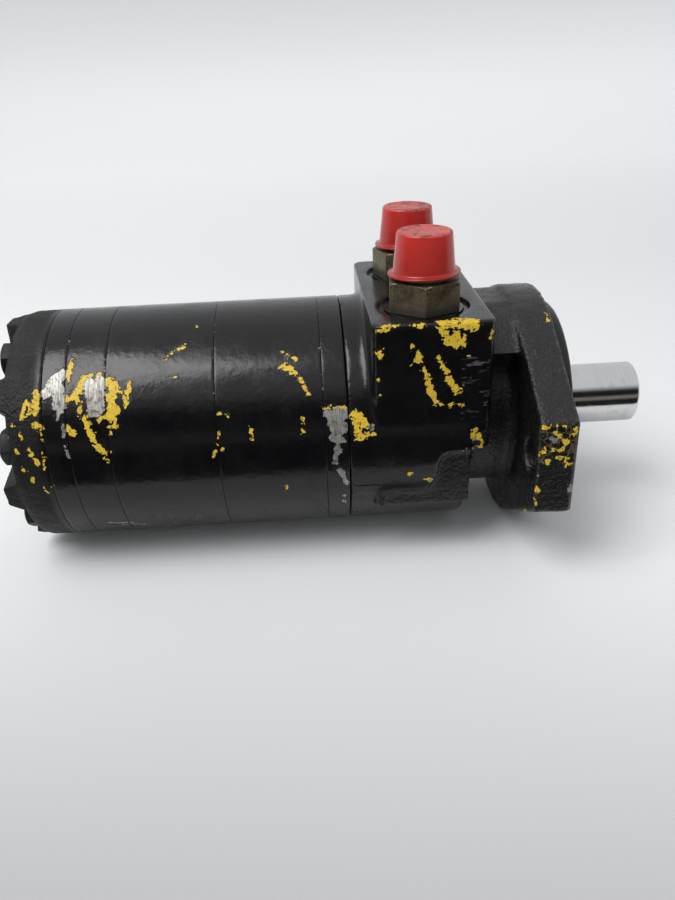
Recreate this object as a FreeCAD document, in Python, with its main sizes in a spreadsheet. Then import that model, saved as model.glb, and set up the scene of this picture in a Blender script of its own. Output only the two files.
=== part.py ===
import FreeCAD, Part
import math
import os
import Sketcher

# An orbital (roller-gerotor) hydraulic motor. X runs along the shaft towards its free end, Z up to the
# ports, and the origin is where the shaft's axis meets the mounting face. Millimetres.

os.makedirs("parts", exist_ok=True)
doc = FreeCAD.newDocument("hydraulic_motor")

DIMENSIONS = {
    # Shaft, pilot and mounting flange
    "shaft_radius": 12.7,
    "shaft_projection": 44.45,
    "shaft_chamfer": 1.5,
    "shaft_centre_hole": 2.6,
    "seal_journal_radius": 13.2,
    "journal_radius": 20.0,
    "journal_length": 50.0,
    "key_width": 6.35,
    "key_depth": 3.6,
    "key_length": 31.75,
    "pilot_radius": 41.275,
    "pilot_height": 6.35,
    "flange_thickness": 14.2,
    "flange_radius": 48.2,
    "lug_end": 64.5,
    "lug_half_height": 18.0,
    "lug_hole_offset": 53.2,
    "lug_hole_radius": 7.15,
    # Neck and port block
    "neck_length": 12.55,
    "neck_radius": 34.0,
    "neck_fillet": 3.0,
    "saddle_radius": 47.25,
    "saddle_floor": 33.0,
    "block_length": 44.45,
    "block_half_width": 45.5,
    "block_top": 50.8,
    "block_bottom": 24.0,
    "block_corner": 3.5,
    "overhang_length": 7.2,
    "overhang_bottom": 0.5,
    "cast_step_depth": 1.2,
    "cast_step_length": 12.0,
    "cast_step_foot": 17.5,
    "body_radius": 47.1,
    "block_root_fillet": 3.2,
    "edge_break": 0.45,
    # Stack of plates behind the housing
    "housing_length": 80.65,
    "wear_plate_thickness": 8.7,
    "stator_length": 39.925,
    "manifold_thickness": 14.6,
    "commutator_ring_thickness": 8.6,
    "cover_thickness": 14.2,
    "cover_rim": 3.0,
    "ridge_height": 5.2,
    "ridge_base_half_width": 8.1,
    "ridge_top_half_width": 4.3,
    "ridge_outer_radius": 46.0,
    "ridge_end_slope": 0.7,
    "hub_radius": 17.0,
    # Bolts through the stack
    "bolt_circle": 38.6,
    "bolt_radius": 3.97,
    "bolt_hole_radius": 4.2,
    "bolt_head_flats": 12.7,
    "bolt_head_height": 5.3,
    "bolt_engagement": 19.0,
    "bolt_washer_radius": 6.5,
    "bolt_washer_height": 0.5,
    "bolt_seat_radius": 7.6,
    "bolt_seat_depth": 1.7,
    # Seals and galleries between the plates
    "seal_inner": 43.25,
    "seal_outer": 44.75,
    "seal_thickness": 1.3,
    "gallery_offset": 38.3,
    "gallery_radius": 3.0,
    "plate_bore": 12.0,
    "timing_offset": 30.2,
    "timing_radius": 2.1,
    # Rollers, rotor and commutator
    "roller_circle": 27.5,
    "roller_radius": 5.3,
    "roller_play": 0.05,
    "rotor_play": 0.1,
    "eccentricity": 2.2,
    "stator_bore": 26.75,
    "end_play": 0.06,
    "commutator_radius": 22.0,
    "commutator_bore": 7.2,
    "commutator_ring_bore": 25.7,
    "commutator_seal_inner": 12.0,
    "commutator_seal_outer": 14.4,
    "commutator_seal_depth": 2.0,
    # Drive link and its splines
    "pivot_depth": 60.0,
    "rotor_spline_depth": 150.0,
    "spline_length": 15.0,
    "spline_root": 9.5,
    "spline_tip": 11.2,
    "spline_tooth_half": 0.95,
    "spline_play": 0.45,
    "link_radius": 8.4,
    "link_nose_radius": 6.4,
    "link_front_length": 9.0,
    "link_rear_length": 133.0,
    # Bearings and seals around the shaft
    "dust_seal_radius": 18.0,
    "dust_seal_depth": 5.0,
    "bushing_radius": 16.0,
    "bushing_length": 13.0,
    "shaft_seal_radius": 20.0,
    "shaft_seal_length": 7.0,
    "backup_length": 2.0,
    "thrust_length": 3.5,
    "thrust_radius": 21.5,
    "washer_play": 0.4,
    "main_bore": 23.0,
    "rear_bushing_length": 18.0,
    "running_play": 0.05,
    # Ports, adapters and caps
    "port_depth_along": 49.8,
    "port_spacing_half": 23.5,
    "spotface_radius": 17.3,
    "spotface_depth": 0.6,
    "port_thread_radius": 11.1,
    "port_bottom": 30.0,
    "port_drill_radius": 6.0,
    "port_drill_bottom": 42.0,
    "hex_flats": 25.4,
    "hex_turn_a": -6.0,
    "hex_turn_b": 16.0,
    "hex_height": 10.5,
    "plug_radius": 11.05,
    "plug_length": 15.0,
    "plug_relief_radius": 9.9,
    "plug_relief": 3.0,
    "stem_radius": 9.5,
    "stem_root_radius": 8.6,
    "stem_length": 15.6,
    "stem_nose_radius": 6.9,
    "stem_nose_length": 3.4,
    "fitting_bore": 5.0,
    "cap_gap": 1.1,
    "cap_rim_radius": 13.4,
    "cap_rim_height": 1.9,
    "cap_foot_radius": 11.1,
    "cap_top_radius": 10.1,
    "cap_height": 16.0,
    "cap_inner_radius": 9.8,
    "cap_roof": 1.2,
}

sheet = doc.addObject("Spreadsheet::Sheet", "dims")
for row, (alias, value) in enumerate(DIMENSIONS.items(), start=1):
    sheet.set("A%d" % row, str(value))
    sheet.setAlias("A%d" % row, alias)
doc.recompute()

BOLTS = 7
TEETH = 12
PARTS = []


def dim(alias):
    """The present value of one driving dimension."""
    return float(sheet.get(alias))


def named(expression):
    """An expression in which each driving dimension is read from the sheet."""
    words = []
    word = ""
    for letter in expression + " ":
        if letter.isalnum() or letter == "_":
            word += letter
            continue
        words.append("dims." + word if word in DIMENSIONS else word)
        words.append(letter)
        word = ""
    return "".join(words).strip()


def value_of(expression):
    """A starting value for an expression, so that a sketch is drawn near its solved shape."""
    return float(sheet.evalExpression(named(expression)))


# Stations along the shaft, as expressions
BLOCK_FRONT = "-(flange_thickness + neck_length)"
BLOCK_REAR = "-(flange_thickness + neck_length + block_length)"
HOUSING_REAR = "-housing_length"
WEAR_REAR = HOUSING_REAR + " - wear_plate_thickness"
STATOR_JOINT = WEAR_REAR + " - stator_length"
STATOR_REAR = STATOR_JOINT + " - stator_length"
MANIFOLD_REAR = STATOR_REAR + " - manifold_thickness"
RING_REAR = MANIFOLD_REAR + " - commutator_ring_thickness"
COVER_REAR = RING_REAR + " - cover_thickness"
BOLT_SEAT = COVER_REAR + " + bolt_seat_depth"
SEAL_ZONE = "pilot_height - dust_seal_depth - bushing_length"
BACKUP_FRONT = SEAL_ZONE + " - shaft_seal_length"
THRUST_FRONT = BACKUP_FRONT + " - backup_length"
SHOULDER = THRUST_FRONT + " - thrust_length"
JOURNAL_REAR = SHOULDER + " - journal_length"


def new_body(label):
    body = doc.addObject("PartDesign::Body", label)
    body.Label = label
    PARTS.append(body)
    return body


def origin_feature(body, role):
    return [item for item in body.Origin.OriginFeatures if item.Role == role][0]


def new_sketch(body, name, role, station="0"):
    """A sketch on one of the body's origin planes, moved along its normal to a station."""
    sketch = body.newObject("Sketcher::SketchObject", name)
    sketch.AttachmentSupport = [(origin_feature(body, role), "")]
    sketch.MapMode = "FlatFace"
    if station != "0":
        sketch.setExpression("AttachmentOffset.Base.z", named(station))
    return sketch


def bind_point(sketch, index, end, corner):
    """Ties one end of a line, or a circle's centre, to the sheet."""
    for kind, expression in zip(("DistanceX", "DistanceY"), corner):
        start = value_of(expression)
        place = sketch.addConstraint(Sketcher.Constraint(kind, -1, 1, index, end, start))
        sketch.setExpression("Constraints[%d]" % place, named(expression))


def polygon(sketch, corners):
    """A closed outline of straight lines through corners given as pairs of expressions."""
    first = sketch.GeometryCount
    points = [FreeCAD.Vector(value_of(x), value_of(y), 0) for x, y in corners]
    count = len(points)
    for i in range(count):
        sketch.addGeometry(Part.LineSegment(points[i], points[(i + 1) % count]))
    for i in range(count):
        follower = first + (i + 1) % count
        sketch.addConstraint(Sketcher.Constraint("Coincident", first + i, 2, follower, 1))
    for i, corner in enumerate(corners):
        bind_point(sketch, first + i, 1, corner)


def circle(sketch, centre, radius):
    place = FreeCAD.Vector(value_of(centre[0]), value_of(centre[1]), 0)
    start = value_of(radius)
    index = sketch.addGeometry(Part.Circle(place, FreeCAD.Vector(0, 0, 1), start))
    bind_point(sketch, index, 3, centre)
    size = sketch.addConstraint(Sketcher.Constraint("Radius", index, start))
    sketch.setExpression("Constraints[%d]" % size, named(radius))


def turned(body, name, corners, kind="Revolution", role="XY_Plane", axis="X_Axis"):
    """Turns an outline about one of the body's axes; kind Groove takes the material away."""
    sketch = new_sketch(body, name + "_outline", role)
    polygon(sketch, corners)
    feature = body.newObject("PartDesign::" + kind, name)
    feature.Profile = sketch
    feature.ReferenceAxis = (origin_feature(body, axis), [""])
    feature.Angle = 360
    return finish(body, feature, adds=kind == "Revolution")


def finish(body, feature, adds):
    """Recomputes and makes sure that the feature really added or removed material."""
    before = feature.BaseFeature.Shape.Volume if feature.BaseFeature else 0.0
    doc.recompute()
    change = feature.Shape.Volume - before
    if (change > 0) != adds or abs(change) < 1e-6:
        raise ValueError("%s of %s changed the volume by %g" % (feature.Label, body.Label, change))
    body.Tip = feature
    return feature


def pad(body, name, sketch, length, reverse=False):
    feature = body.newObject("PartDesign::Pad", name)
    feature.Profile = sketch
    feature.setExpression("Length", named(length))
    feature.Reversed = reverse
    return finish(body, feature, adds=True)


def pocket(body, name, sketch, length, reverse=False):
    """Cuts against the sketch's normal, or along it when reversed."""
    feature = body.newObject("PartDesign::Pocket", name)
    feature.Profile = sketch
    feature.setExpression("Length", named(length))
    feature.Reversed = reverse
    return finish(body, feature, adds=False)


def around(body, name, feature, count, axis="X_Axis"):
    """Repeats a feature evenly about one of the body's axes."""
    adds = feature.TypeId != "PartDesign::Pocket"
    before = feature.Shape.Volume
    pattern = body.newObject("PartDesign::PolarPattern", name)
    pattern.Originals = [feature]
    pattern.Axis = (origin_feature(body, axis), [""])
    pattern.Angle = 360
    pattern.Occurrences = count
    body.Tip = pattern
    doc.recompute()
    if (pattern.Shape.Volume > before) != adds:
        raise ValueError("%s of %s did not repeat" % (name, body.Label))
    return pattern


def is_upright(edge):
    ends = edge.Vertexes
    return len(ends) == 2 and math.hypot(ends[0].X - ends[1].X, ends[0].Y - ends[1].Y) < 1e-6


def round_edges(body, name, radius, wanted):
    """Fillets every edge of the body that the test wanted accepts."""
    base = body.Tip
    edges = ["Edge%d" % i for i, edge in enumerate(base.Shape.Edges, start=1) if wanted(edge)]
    feature = body.newObject("PartDesign::Fillet", name)
    feature.Base = (base, edges)
    feature.setExpression("Radius", named(radius))
    doc.recompute()
    if not edges or not feature.Shape.isValid():
        raise ValueError("%s of %s was not rounded" % (name, body.Label))
    body.Tip = feature
    return feature


def hole_ring(body, name, radius, offset, angle, front, depth, count=BOLTS):
    """Holes along X on a circle, from the station front backwards, the first at an angle from +Y."""
    sketch = new_sketch(body, name + "_circle", "YZ_Plane", front)
    centre = ("(%s) * cos(%s)" % (offset, angle), "(%s) * sin(%s)" % (offset, angle))
    circle(sketch, centre, radius)
    cut = pocket(body, name, sketch, depth)
    return around(body, name + "_ring", cut, count) if count > 1 else cut


def ring_outline(front, rear, inner, outer):
    return [(front, inner), (front, outer), (rear, outer), (rear, inner)]


def plate_outline(front, rear, inner):
    """A round plate of the stack, with its two outer edges broken."""
    return [
        (front, inner),
        (front, "body_radius - edge_break"),
        (front + " - edge_break", "body_radius"),
        (rear + " + edge_break", "body_radius"),
        (rear, "body_radius - edge_break"),
        (rear, inner),
    ]


def simple_ring(label, front, rear, inner, outer):
    body = new_body(label)
    turned(body, label + "_ring", ring_outline(front, rear, inner, outer))
    return body


BOLT_ANGLE = "(-90 deg)"
GALLERY_ANGLE = "(90 deg - 360 deg / 7)"


def seal_groove(body, front):
    """The groove for a body seal, in a plate's front face."""
    outline = ring_outline(front, front + " - seal_thickness", "seal_inner", "seal_outer")
    turned(body, body.Label + "_seal_groove", outline, kind="Groove")


def stack_plate(label, front, rear, bore, thickness):
    """One plate of the stack with its bolt holes, seal groove and the gallery for the second port."""
    body = new_body(label)
    turned(body, label + "_disc", plate_outline(front, rear, bore))
    hole_ring(body, label + "_bolt_holes", "bolt_hole_radius", "bolt_circle", BOLT_ANGLE, front, thickness)
    hole_ring(body, label + "_gallery", "gallery_radius", "gallery_offset", GALLERY_ANGLE, front,
              thickness, count=1)
    seal_groove(body, front)
    return body


def flange_outline(sketch):
    """Two flat lug ends, joined by tangents to a round top and bottom."""
    reach = "sqrt(lug_end ^ 2 + lug_half_height ^ 2)"
    lean = "(atan2(lug_half_height; lug_end) + acos(flange_radius / %s))" % reach
    touch_y = "flange_radius * cos(%s)" % lean
    touch_z = "flange_radius * sin(%s)" % lean
    corners = [
        ("lug_end", "-lug_half_height"),
        ("lug_end", "lug_half_height"),
        (touch_y, touch_z),
        ("-" + touch_y, touch_z),
        ("-lug_end", "lug_half_height"),
        ("-lug_end", "-lug_half_height"),
        ("-" + touch_y, "-" + touch_z),
        (touch_y, "-" + touch_z),
    ]
    points = [FreeCAD.Vector(value_of(y), value_of(z), 0) for y, z in corners]
    radius = dim("flange_radius")
    crowns = {
        2: FreeCAD.Vector(0, radius, 0),
        6: FreeCAD.Vector(0, -radius, 0),
    }
    count = len(points)
    starts = []
    for i in range(count):
        after = points[(i + 1) % count]
        if i not in crowns:
            sketch.addGeometry(Part.LineSegment(points[i], after))
            starts.append((i, 1, 2))
            continue
        arc = Part.Arc(points[i], crowns[i], after)
        sketch.addGeometry(arc)
        size = sketch.addConstraint(Sketcher.Constraint("Radius", i, radius))
        sketch.setExpression("Constraints[%d]" % size, named("flange_radius"))
        stored = sketch.Geometry[i]
        forward = stored.StartPoint.distanceToPoint(points[i]) < 1e-6
        starts.append((i, 1, 2) if forward else (i, 2, 1))
    for i in range(count):
        follower = starts[(i + 1) % count]
        sketch.addConstraint(Sketcher.Constraint("Coincident", i, starts[i][2], follower[0], follower[1]))
    for i, corner in enumerate(corners):
        if i not in crowns:
            bind_point(sketch, i, 1, corner)
    for i in crowns:
        bind_point(sketch, i, starts[i][1], corners[i])


def make_housing():
    body = new_body("housing")
    turned(body, "barrel", [
        ("pilot_height", "main_bore - 9"),
        ("pilot_height", "pilot_radius - 1"),
        ("pilot_height - 1", "pilot_radius"),
        ("0", "pilot_radius"),
        ("0", "neck_radius + neck_fillet"),
        ("-flange_thickness", "neck_radius + neck_fillet"),
        ("-flange_thickness - neck_fillet", "neck_radius"),
        (BLOCK_FRONT + " - overhang_length + neck_fillet", "neck_radius"),
        (BLOCK_FRONT + " - overhang_length", "neck_radius + neck_fillet"),
        (BLOCK_FRONT + " - overhang_length", "body_radius - 1"),
        (BLOCK_FRONT + " - overhang_length - 1", "body_radius"),
        (HOUSING_REAR + " + edge_break", "body_radius"),
        (HOUSING_REAR, "body_radius - edge_break"),
        (HOUSING_REAR, "main_bore - 9"),
    ])

    flange = new_sketch(body, "flange_outline", "YZ_Plane")
    flange_outline(flange)
    pad(body, "flange", flange, "flange_thickness", reverse=True)

    # The port block, whose front overhangs the neck above the shaft's axis
    block = new_sketch(body, "block_outline", "XY_Plane", "-block_bottom")
    polygon(block, [
        (BLOCK_FRONT + " - overhang_length", "-block_half_width"),
        (BLOCK_FRONT + " - overhang_length", "block_half_width"),
        (BLOCK_REAR, "block_half_width"),
        (BLOCK_REAR, "-block_half_width"),
    ])
    pad(body, "block", block, "block_bottom + block_top")
    overhang = new_sketch(body, "overhang_outline", "XY_Plane", "-overhang_bottom")
    polygon(overhang, [
        (BLOCK_FRONT + " - overhang_length", "-block_half_width"),
        (BLOCK_FRONT, "-block_half_width"),
        (BLOCK_FRONT, "block_half_width"),
        (BLOCK_FRONT + " - overhang_length", "block_half_width"),
    ])
    pad(body, "overhang", overhang, "overhang_bottom + block_top")

    # The saddle of the neck: the body's own round top above a flat floor
    half_floor = "sqrt(saddle_radius ^ 2 - saddle_floor ^ 2)"
    shoulder = "neck_radius * 0.62"
    crest = "sqrt(saddle_radius ^ 2 - (%s) ^ 2)" % shoulder
    saddle = new_sketch(body, "saddle_outline", "YZ_Plane", "-flange_thickness")
    polygon(saddle, [
        ("-" + half_floor, "saddle_floor"),
        (half_floor, "saddle_floor"),
        (shoulder, crest),
        ("neck_radius * 0.3", "sqrt(saddle_radius ^ 2 - (neck_radius * 0.3) ^ 2)"),
        ("-neck_radius * 0.3", "sqrt(saddle_radius ^ 2 - (neck_radius * 0.3) ^ 2)"),
        ("-" + shoulder, crest),
    ])
    pad(body, "saddle", saddle, "neck_length", reverse=True)
    web = new_sketch(body, "web_outline", "YZ_Plane", "-flange_thickness")
    polygon(web, [
        ("-neck_radius * 0.7", "neck_radius * 0.5"),
        ("neck_radius * 0.7", "neck_radius * 0.5"),
        ("neck_radius * 0.7", "saddle_floor + 1"),
        ("-neck_radius * 0.7", "saddle_floor + 1"),
    ])
    pad(body, "web", web, "neck_length", reverse=True)

    # Rounded upright corners, and a fillet where the block rises from the round body
    rear = value_of(BLOCK_REAR)
    front = value_of(BLOCK_FRONT)
    side = dim("block_half_width")
    round_edges(body, "block_corners", "block_corner", lambda edge: (
        is_upright(edge)
        and min(abs(edge.Vertexes[0].X - rear), abs(edge.Vertexes[0].X - front)) < 0.01
        and abs(abs(edge.Vertexes[0].Y) - side) < 0.01
    ))
    round_edges(body, "block_root", "block_root_fillet", lambda edge: (
        edge.Curve.TypeId == "Part::GeomCircle"
        and abs(edge.Curve.Radius - dim("body_radius")) < 0.01
        and abs(edge.Curve.Center.x - rear) < 0.01
        and edge.Vertexes[0].Z > 0
    ))

    # The cast step along the foot of the block's two sides, which sweeps up near the overhang
    corner = BLOCK_REAR + " + block_corner"
    face = BLOCK_FRONT + " - overhang_length"
    sweep = face + " - cast_step_length"
    for side in (-1, 1):
        name = "cast_step_left" if side < 0 else "cast_step_right"
        floor = "%d * (block_half_width - cast_step_depth)" % -side
        step = new_sketch(body, name + "_outline", "XZ_Plane", floor)
        polygon(step, [
            (corner, "-block_bottom - 1"),
            (corner, "-cast_step_foot - 1.5"),
            (corner + " + 1.5", "-cast_step_foot"),
            (sweep + " - 6", "-cast_step_foot"),
            (sweep + " - 3", "-cast_step_foot + 2"),
            (sweep + " - 1.5", "-cast_step_foot + 6"),
            (sweep, "-overhang_bottom - 3"),
            (sweep + " + 1.2", "-overhang_bottom - 0.7"),
            (sweep + " + 4.5", "-overhang_bottom"),
            (face + " + 1", "-overhang_bottom"),
            (face + " + 1", "-block_bottom - 1"),
        ])
        pocket(body, name, step, "body_radius", reverse=side < 0)

    # Bores along the shaft
    turned(body, "shaft_bores", [
        ("pilot_height + 1", "0"),
        ("pilot_height + 1", "dust_seal_radius"),
        ("pilot_height - dust_seal_depth", "dust_seal_radius"),
        ("pilot_height - dust_seal_depth", "bushing_radius"),
        (SEAL_ZONE, "bushing_radius"),
        (SEAL_ZONE, "shaft_seal_radius"),
        (THRUST_FRONT, "shaft_seal_radius"),
        (THRUST_FRONT, "main_bore"),
        (HOUSING_REAR + " - 1", "main_bore"),
        (HOUSING_REAR + " - 1", "0"),
    ], kind="Groove")

    # Ports: a spot face, a threaded hole and a drilling for each
    for side, drill in ((-1, "port_drill_bottom"), (1, "port_bottom + 2")):
        port = "port_a" if side < 0 else "port_b"
        centre = ("-port_depth_along", "%d * port_spacing_half" % side)
        for stage, radius, depth in (
            ("spotface", "spotface_radius", "spotface_depth"),
            ("thread", "port_thread_radius", "port_bottom"),
            ("drilling", "port_drill_radius", drill),
        ):
            face = new_sketch(body, "%s_%s_circle" % (port, stage), "XY_Plane", "block_top")
            circle(face, centre, radius)
            pocket(body, "%s_%s" % (port, stage), face, depth)

    # Holes in the rear face for the bolts and the second port's gallery
    for name, radius, offset, angle, depth, count in (
        ("bolt_threads", "bolt_radius + 0.03", "bolt_circle", BOLT_ANGLE, "bolt_engagement + 2", BOLTS),
        ("gallery", "gallery_radius", "gallery_offset", GALLERY_ANGLE,
         "housing_length - port_depth_along + 2", 1),
    ):
        hole_ring(body, "housing_" + name, radius, offset, angle, HOUSING_REAR + " + " + depth,
                  depth + " + 1", count)
    outline = ring_outline(HOUSING_REAR + " + seal_thickness", HOUSING_REAR, "seal_inner", "seal_outer")
    turned(body, "housing_seal_groove", outline, kind="Groove")

    # Mounting holes through the lugs
    for side in (-1, 1):
        name = "mount_hole_left" if side < 0 else "mount_hole_right"
        lug = new_sketch(body, name + "_circle", "YZ_Plane")
        circle(lug, ("%d * lug_hole_offset" % side, "0"), "lug_hole_radius")
        pocket(body, name, lug, "flange_thickness + 1")
    return body


def make_stack():
    stack_plate("wear_plate", HOUSING_REAR, WEAR_REAR, "plate_bore", "wear_plate_thickness")
    for label, front, rear in (
        ("stator_front", WEAR_REAR, STATOR_JOINT),
        ("stator_rear", STATOR_JOINT, STATOR_REAR),
    ):
        stator = stack_plate(label, front, rear, "stator_bore", "stator_length")
        hole_ring(stator, label + "_pockets", "roller_radius + roller_play", "roller_circle", "(90 deg)",
                  front, "stator_length")
    manifold = stack_plate("manifold", STATOR_REAR, MANIFOLD_REAR, "plate_bore", "manifold_thickness")
    hole_ring(manifold, "timing_holes", "timing_radius", "timing_offset * 0.77", BOLT_ANGLE, STATOR_REAR,
              "manifold_thickness")
    stack_plate("commutator_ring", MANIFOLD_REAR, RING_REAR, "commutator_ring_bore",
                "commutator_ring_thickness")


def make_cover():
    body = new_body("end_cover")
    turned(body, "cover_disc", [
        (RING_REAR, "0"),
        (RING_REAR, "body_radius - edge_break"),
        (RING_REAR + " - edge_break", "body_radius"),
        (COVER_REAR + " + cover_rim", "body_radius - 0.3"),
        (COVER_REAR + " + 0.8", "body_radius - 1"),
        (COVER_REAR, "body_radius - 2.2"),
        (COVER_REAR, "hub_radius + 1.5"),
        (COVER_REAR + " - ridge_height", "hub_radius - 1"),
        (COVER_REAR + " - ridge_height", "0"),
    ])

    # One ridge of sloped section, from the hub to the rim, then its six copies
    ridge = body.newObject("PartDesign::AdditiveLoft", "ridge")
    sections = []
    for name, drop, half, outer in (
        ("ridge_foot", "-cover_rim", "ridge_base_half_width", "ridge_outer_radius"),
        ("ridge_crest", "ridge_height", "ridge_top_half_width", "ridge_outer_radius - ridge_end_slope"),
    ):
        section = new_sketch(body, name, "YZ_Plane", "%s - (%s)" % (COVER_REAR, drop))
        polygon(section, [
            ("-" + half, "hub_radius - 8"),
            (half, "hub_radius - 8"),
            (half, outer),
            ("-" + half, outer),
        ])
        sections.append(section)
    ridge.Profile = sections[0]
    ridge.Sections = sections[1:]
    finish(body, ridge, adds=True)
    around(body, "ridges", ridge, BOLTS)
    hole_ring(body, "cover_bolt_holes", "bolt_hole_radius", "bolt_circle", BOLT_ANGLE, RING_REAR,
              "cover_thickness")
    hole_ring(body, "bolt_seats", "bolt_seat_radius", "bolt_circle", BOLT_ANGLE, BOLT_SEAT,
              "bolt_seat_depth")
    seal_groove(body, RING_REAR)
    turned(body, "nose_recess", [
        (RING_REAR + " + 1", "0"),
        (RING_REAR + " + 1", "plate_bore"),
        (RING_REAR + " - 4", "plate_bore"),
        (RING_REAR + " - 4", "0"),
    ], kind="Groove")
    return body


def bound_primitive(kind, name, sizes, place):
    """A primitive lying along X, with its sizes and the place of its rear end bound to the sheet."""
    shape = doc.addObject("Part::" + kind, name)
    along_x = FreeCAD.Rotation(FreeCAD.Vector(0, 1, 0), 90)
    shape.Placement = FreeCAD.Placement(FreeCAD.Vector(), along_x)
    for prop, expression in sizes.items():
        shape.setExpression(prop, named(expression))
    for letter, expression in zip("xyz", place):
        shape.setExpression("Placement.Base." + letter, named(expression))
    return shape


def make_bolts():
    """Seven long hex bolts, from the seats in the cover into the housing."""
    bolts = []
    for i in range(BOLTS):
        angle = "(-90 deg + 360 deg * %d / %d)" % (i, BOLTS)
        centre = ("bolt_circle * cos(%s)" % angle, "bolt_circle * sin(%s)" % angle)
        shank = bound_primitive("Cylinder", "bolt_shank_%d" % i, {
            "Radius": "bolt_radius",
            "Height": "-housing_length + bolt_engagement - (%s)" % BOLT_SEAT,
        }, (BOLT_SEAT,) + centre)
        washer = bound_primitive("Cylinder", "bolt_washer_%d" % i, {
            "Radius": "bolt_washer_radius",
            "Height": "bolt_washer_height",
        }, (BOLT_SEAT + " - bolt_washer_height",) + centre)
        head = bound_primitive("Prism", "bolt_head_%d" % i, {
            "Circumradius": "bolt_head_flats / 2 / cos(30 deg)",
            "Height": "bolt_head_height - bolt_washer_height",
        }, (BOLT_SEAT + " - bolt_head_height",) + centre)
        bolt = doc.addObject("Part::MultiFuse", "bolt_%d" % i)
        bolt.Shapes = [shank, washer, head]
        bolts.append(bolt)
    group = doc.addObject("Part::Compound", "cover_bolts")
    group.Label = "cover_bolts"
    group.Links = bolts
    PARTS.append(group)


def make_shaft():
    body = new_body("output_shaft")
    turned(body, "shaft_profile", [
        (JOURNAL_REAR, "spline_root + spline_play"),
        (JOURNAL_REAR, "journal_radius - 1"),
        (JOURNAL_REAR + " + 1", "journal_radius"),
        (SHOULDER + " - running_play", "journal_radius"),
        (SHOULDER + " - running_play", "seal_journal_radius"),
        ("pilot_height", "seal_journal_radius"),
        ("pilot_height", "shaft_radius"),
        ("shaft_projection - shaft_chamfer", "shaft_radius"),
        ("shaft_projection", "shaft_radius - shaft_chamfer"),
        ("shaft_projection", "shaft_centre_hole"),
        ("shaft_projection - shaft_centre_hole * 1.7", "0"),
        ("-pivot_depth + link_front_length + 4", "0"),
        ("-pivot_depth + link_front_length + 1", "spline_root + spline_play"),
    ])
    keyway = new_sketch(body, "keyway_outline", "XY_Plane", "-shaft_radius")
    polygon(keyway, [
        ("shaft_projection - key_length", "-key_width / 2"),
        ("shaft_projection + 1", "-key_width / 2"),
        ("shaft_projection + 1", "key_width / 2"),
        ("shaft_projection - key_length", "key_width / 2"),
    ])
    pocket(body, "keyway", keyway, "key_depth", reverse=True)
    groove = new_sketch(body, "spline_space_outline", "YZ_Plane", JOURNAL_REAR)
    space = "spline_tooth_half + spline_play"
    polygon(groove, [
        ("-(%s)" % space, "spline_root - 1"),
        (space, "spline_root - 1"),
        (space, "spline_tip + spline_play"),
        ("-(%s)" % space, "spline_tip + spline_play"),
    ])
    cut = pocket(body, "spline_space", groove,
                 "-pivot_depth + link_front_length - (%s)" % JOURNAL_REAR, reverse=True)
    around(body, "shaft_spline", cut, TEETH)


def make_shaft_supports():
    running = "seal_journal_radius + running_play"
    simple_ring("dust_seal", "pilot_height", "pilot_height - dust_seal_depth", running, "dust_seal_radius")
    simple_ring("front_bushing", "pilot_height - dust_seal_depth", SEAL_ZONE, running, "bushing_radius")
    simple_ring("shaft_seal", SEAL_ZONE, BACKUP_FRONT, running, "shaft_seal_radius")
    simple_ring("seal_backup_ring", BACKUP_FRONT, THRUST_FRONT, running, "shaft_seal_radius")
    simple_ring("thrust_washer", THRUST_FRONT, SHOULDER, "seal_journal_radius + washer_play",
                "thrust_radius")
    simple_ring("rear_bushing", JOURNAL_REAR + " + 4 + rear_bushing_length", JOURNAL_REAR + " + 4",
                "journal_radius + running_play", "main_bore")


def lean_of_link():
    """The link leans from the shaft's axis to the rotor's centre, which lies lowest at rest."""
    run = dim("rotor_spline_depth") - dim("pivot_depth")
    return math.atan2(dim("eccentricity"), run)


def make_link():
    """The drive link, turned about X with its pivot at the origin, then leaned about the pivot."""
    body = new_body("drive_link")
    half = "spline_length / 2"
    rotor_run = "(rotor_spline_depth - pivot_depth)"
    turned(body, "link_profile", [
        ("link_front_length", "0"),
        ("link_front_length", "spline_root - 2"),
        (half, "spline_root"),
        ("-" + half, "spline_root"),
        ("-%s - 2" % half, "link_radius"),
        ("-%s + %s + 2" % (rotor_run, half), "link_radius"),
        ("-%s + %s" % (rotor_run, half), "spline_root"),
        ("-%s - %s" % (rotor_run, half), "spline_root"),
        ("-%s - %s - 3" % (rotor_run, half), "link_nose_radius"),
        ("-link_rear_length + 1", "link_nose_radius"),
        ("-link_rear_length", "link_nose_radius - 1"),
        ("-link_rear_length", "0"),
    ])
    for name, station in (("front", half), ("rear", "-%s + %s" % (rotor_run, half))):
        tooth = new_sketch(body, name + "_tooth_outline", "YZ_Plane", station)
        polygon(tooth, [
            ("-spline_tooth_half", "spline_root - 1"),
            ("spline_tooth_half", "spline_root - 1"),
            ("spline_tooth_half", "spline_tip"),
            ("-spline_tooth_half", "spline_tip"),
        ])
        solid = pad(body, name + "_tooth", tooth, "spline_length", reverse=True)
        around(body, name + "_teeth", solid, TEETH)
    body.Placement.Rotation = FreeCAD.Rotation(FreeCAD.Vector(0, 1, 0), -math.degrees(lean_of_link()))
    body.setExpression("Placement.Base.x", named("-pivot_depth"))


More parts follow.
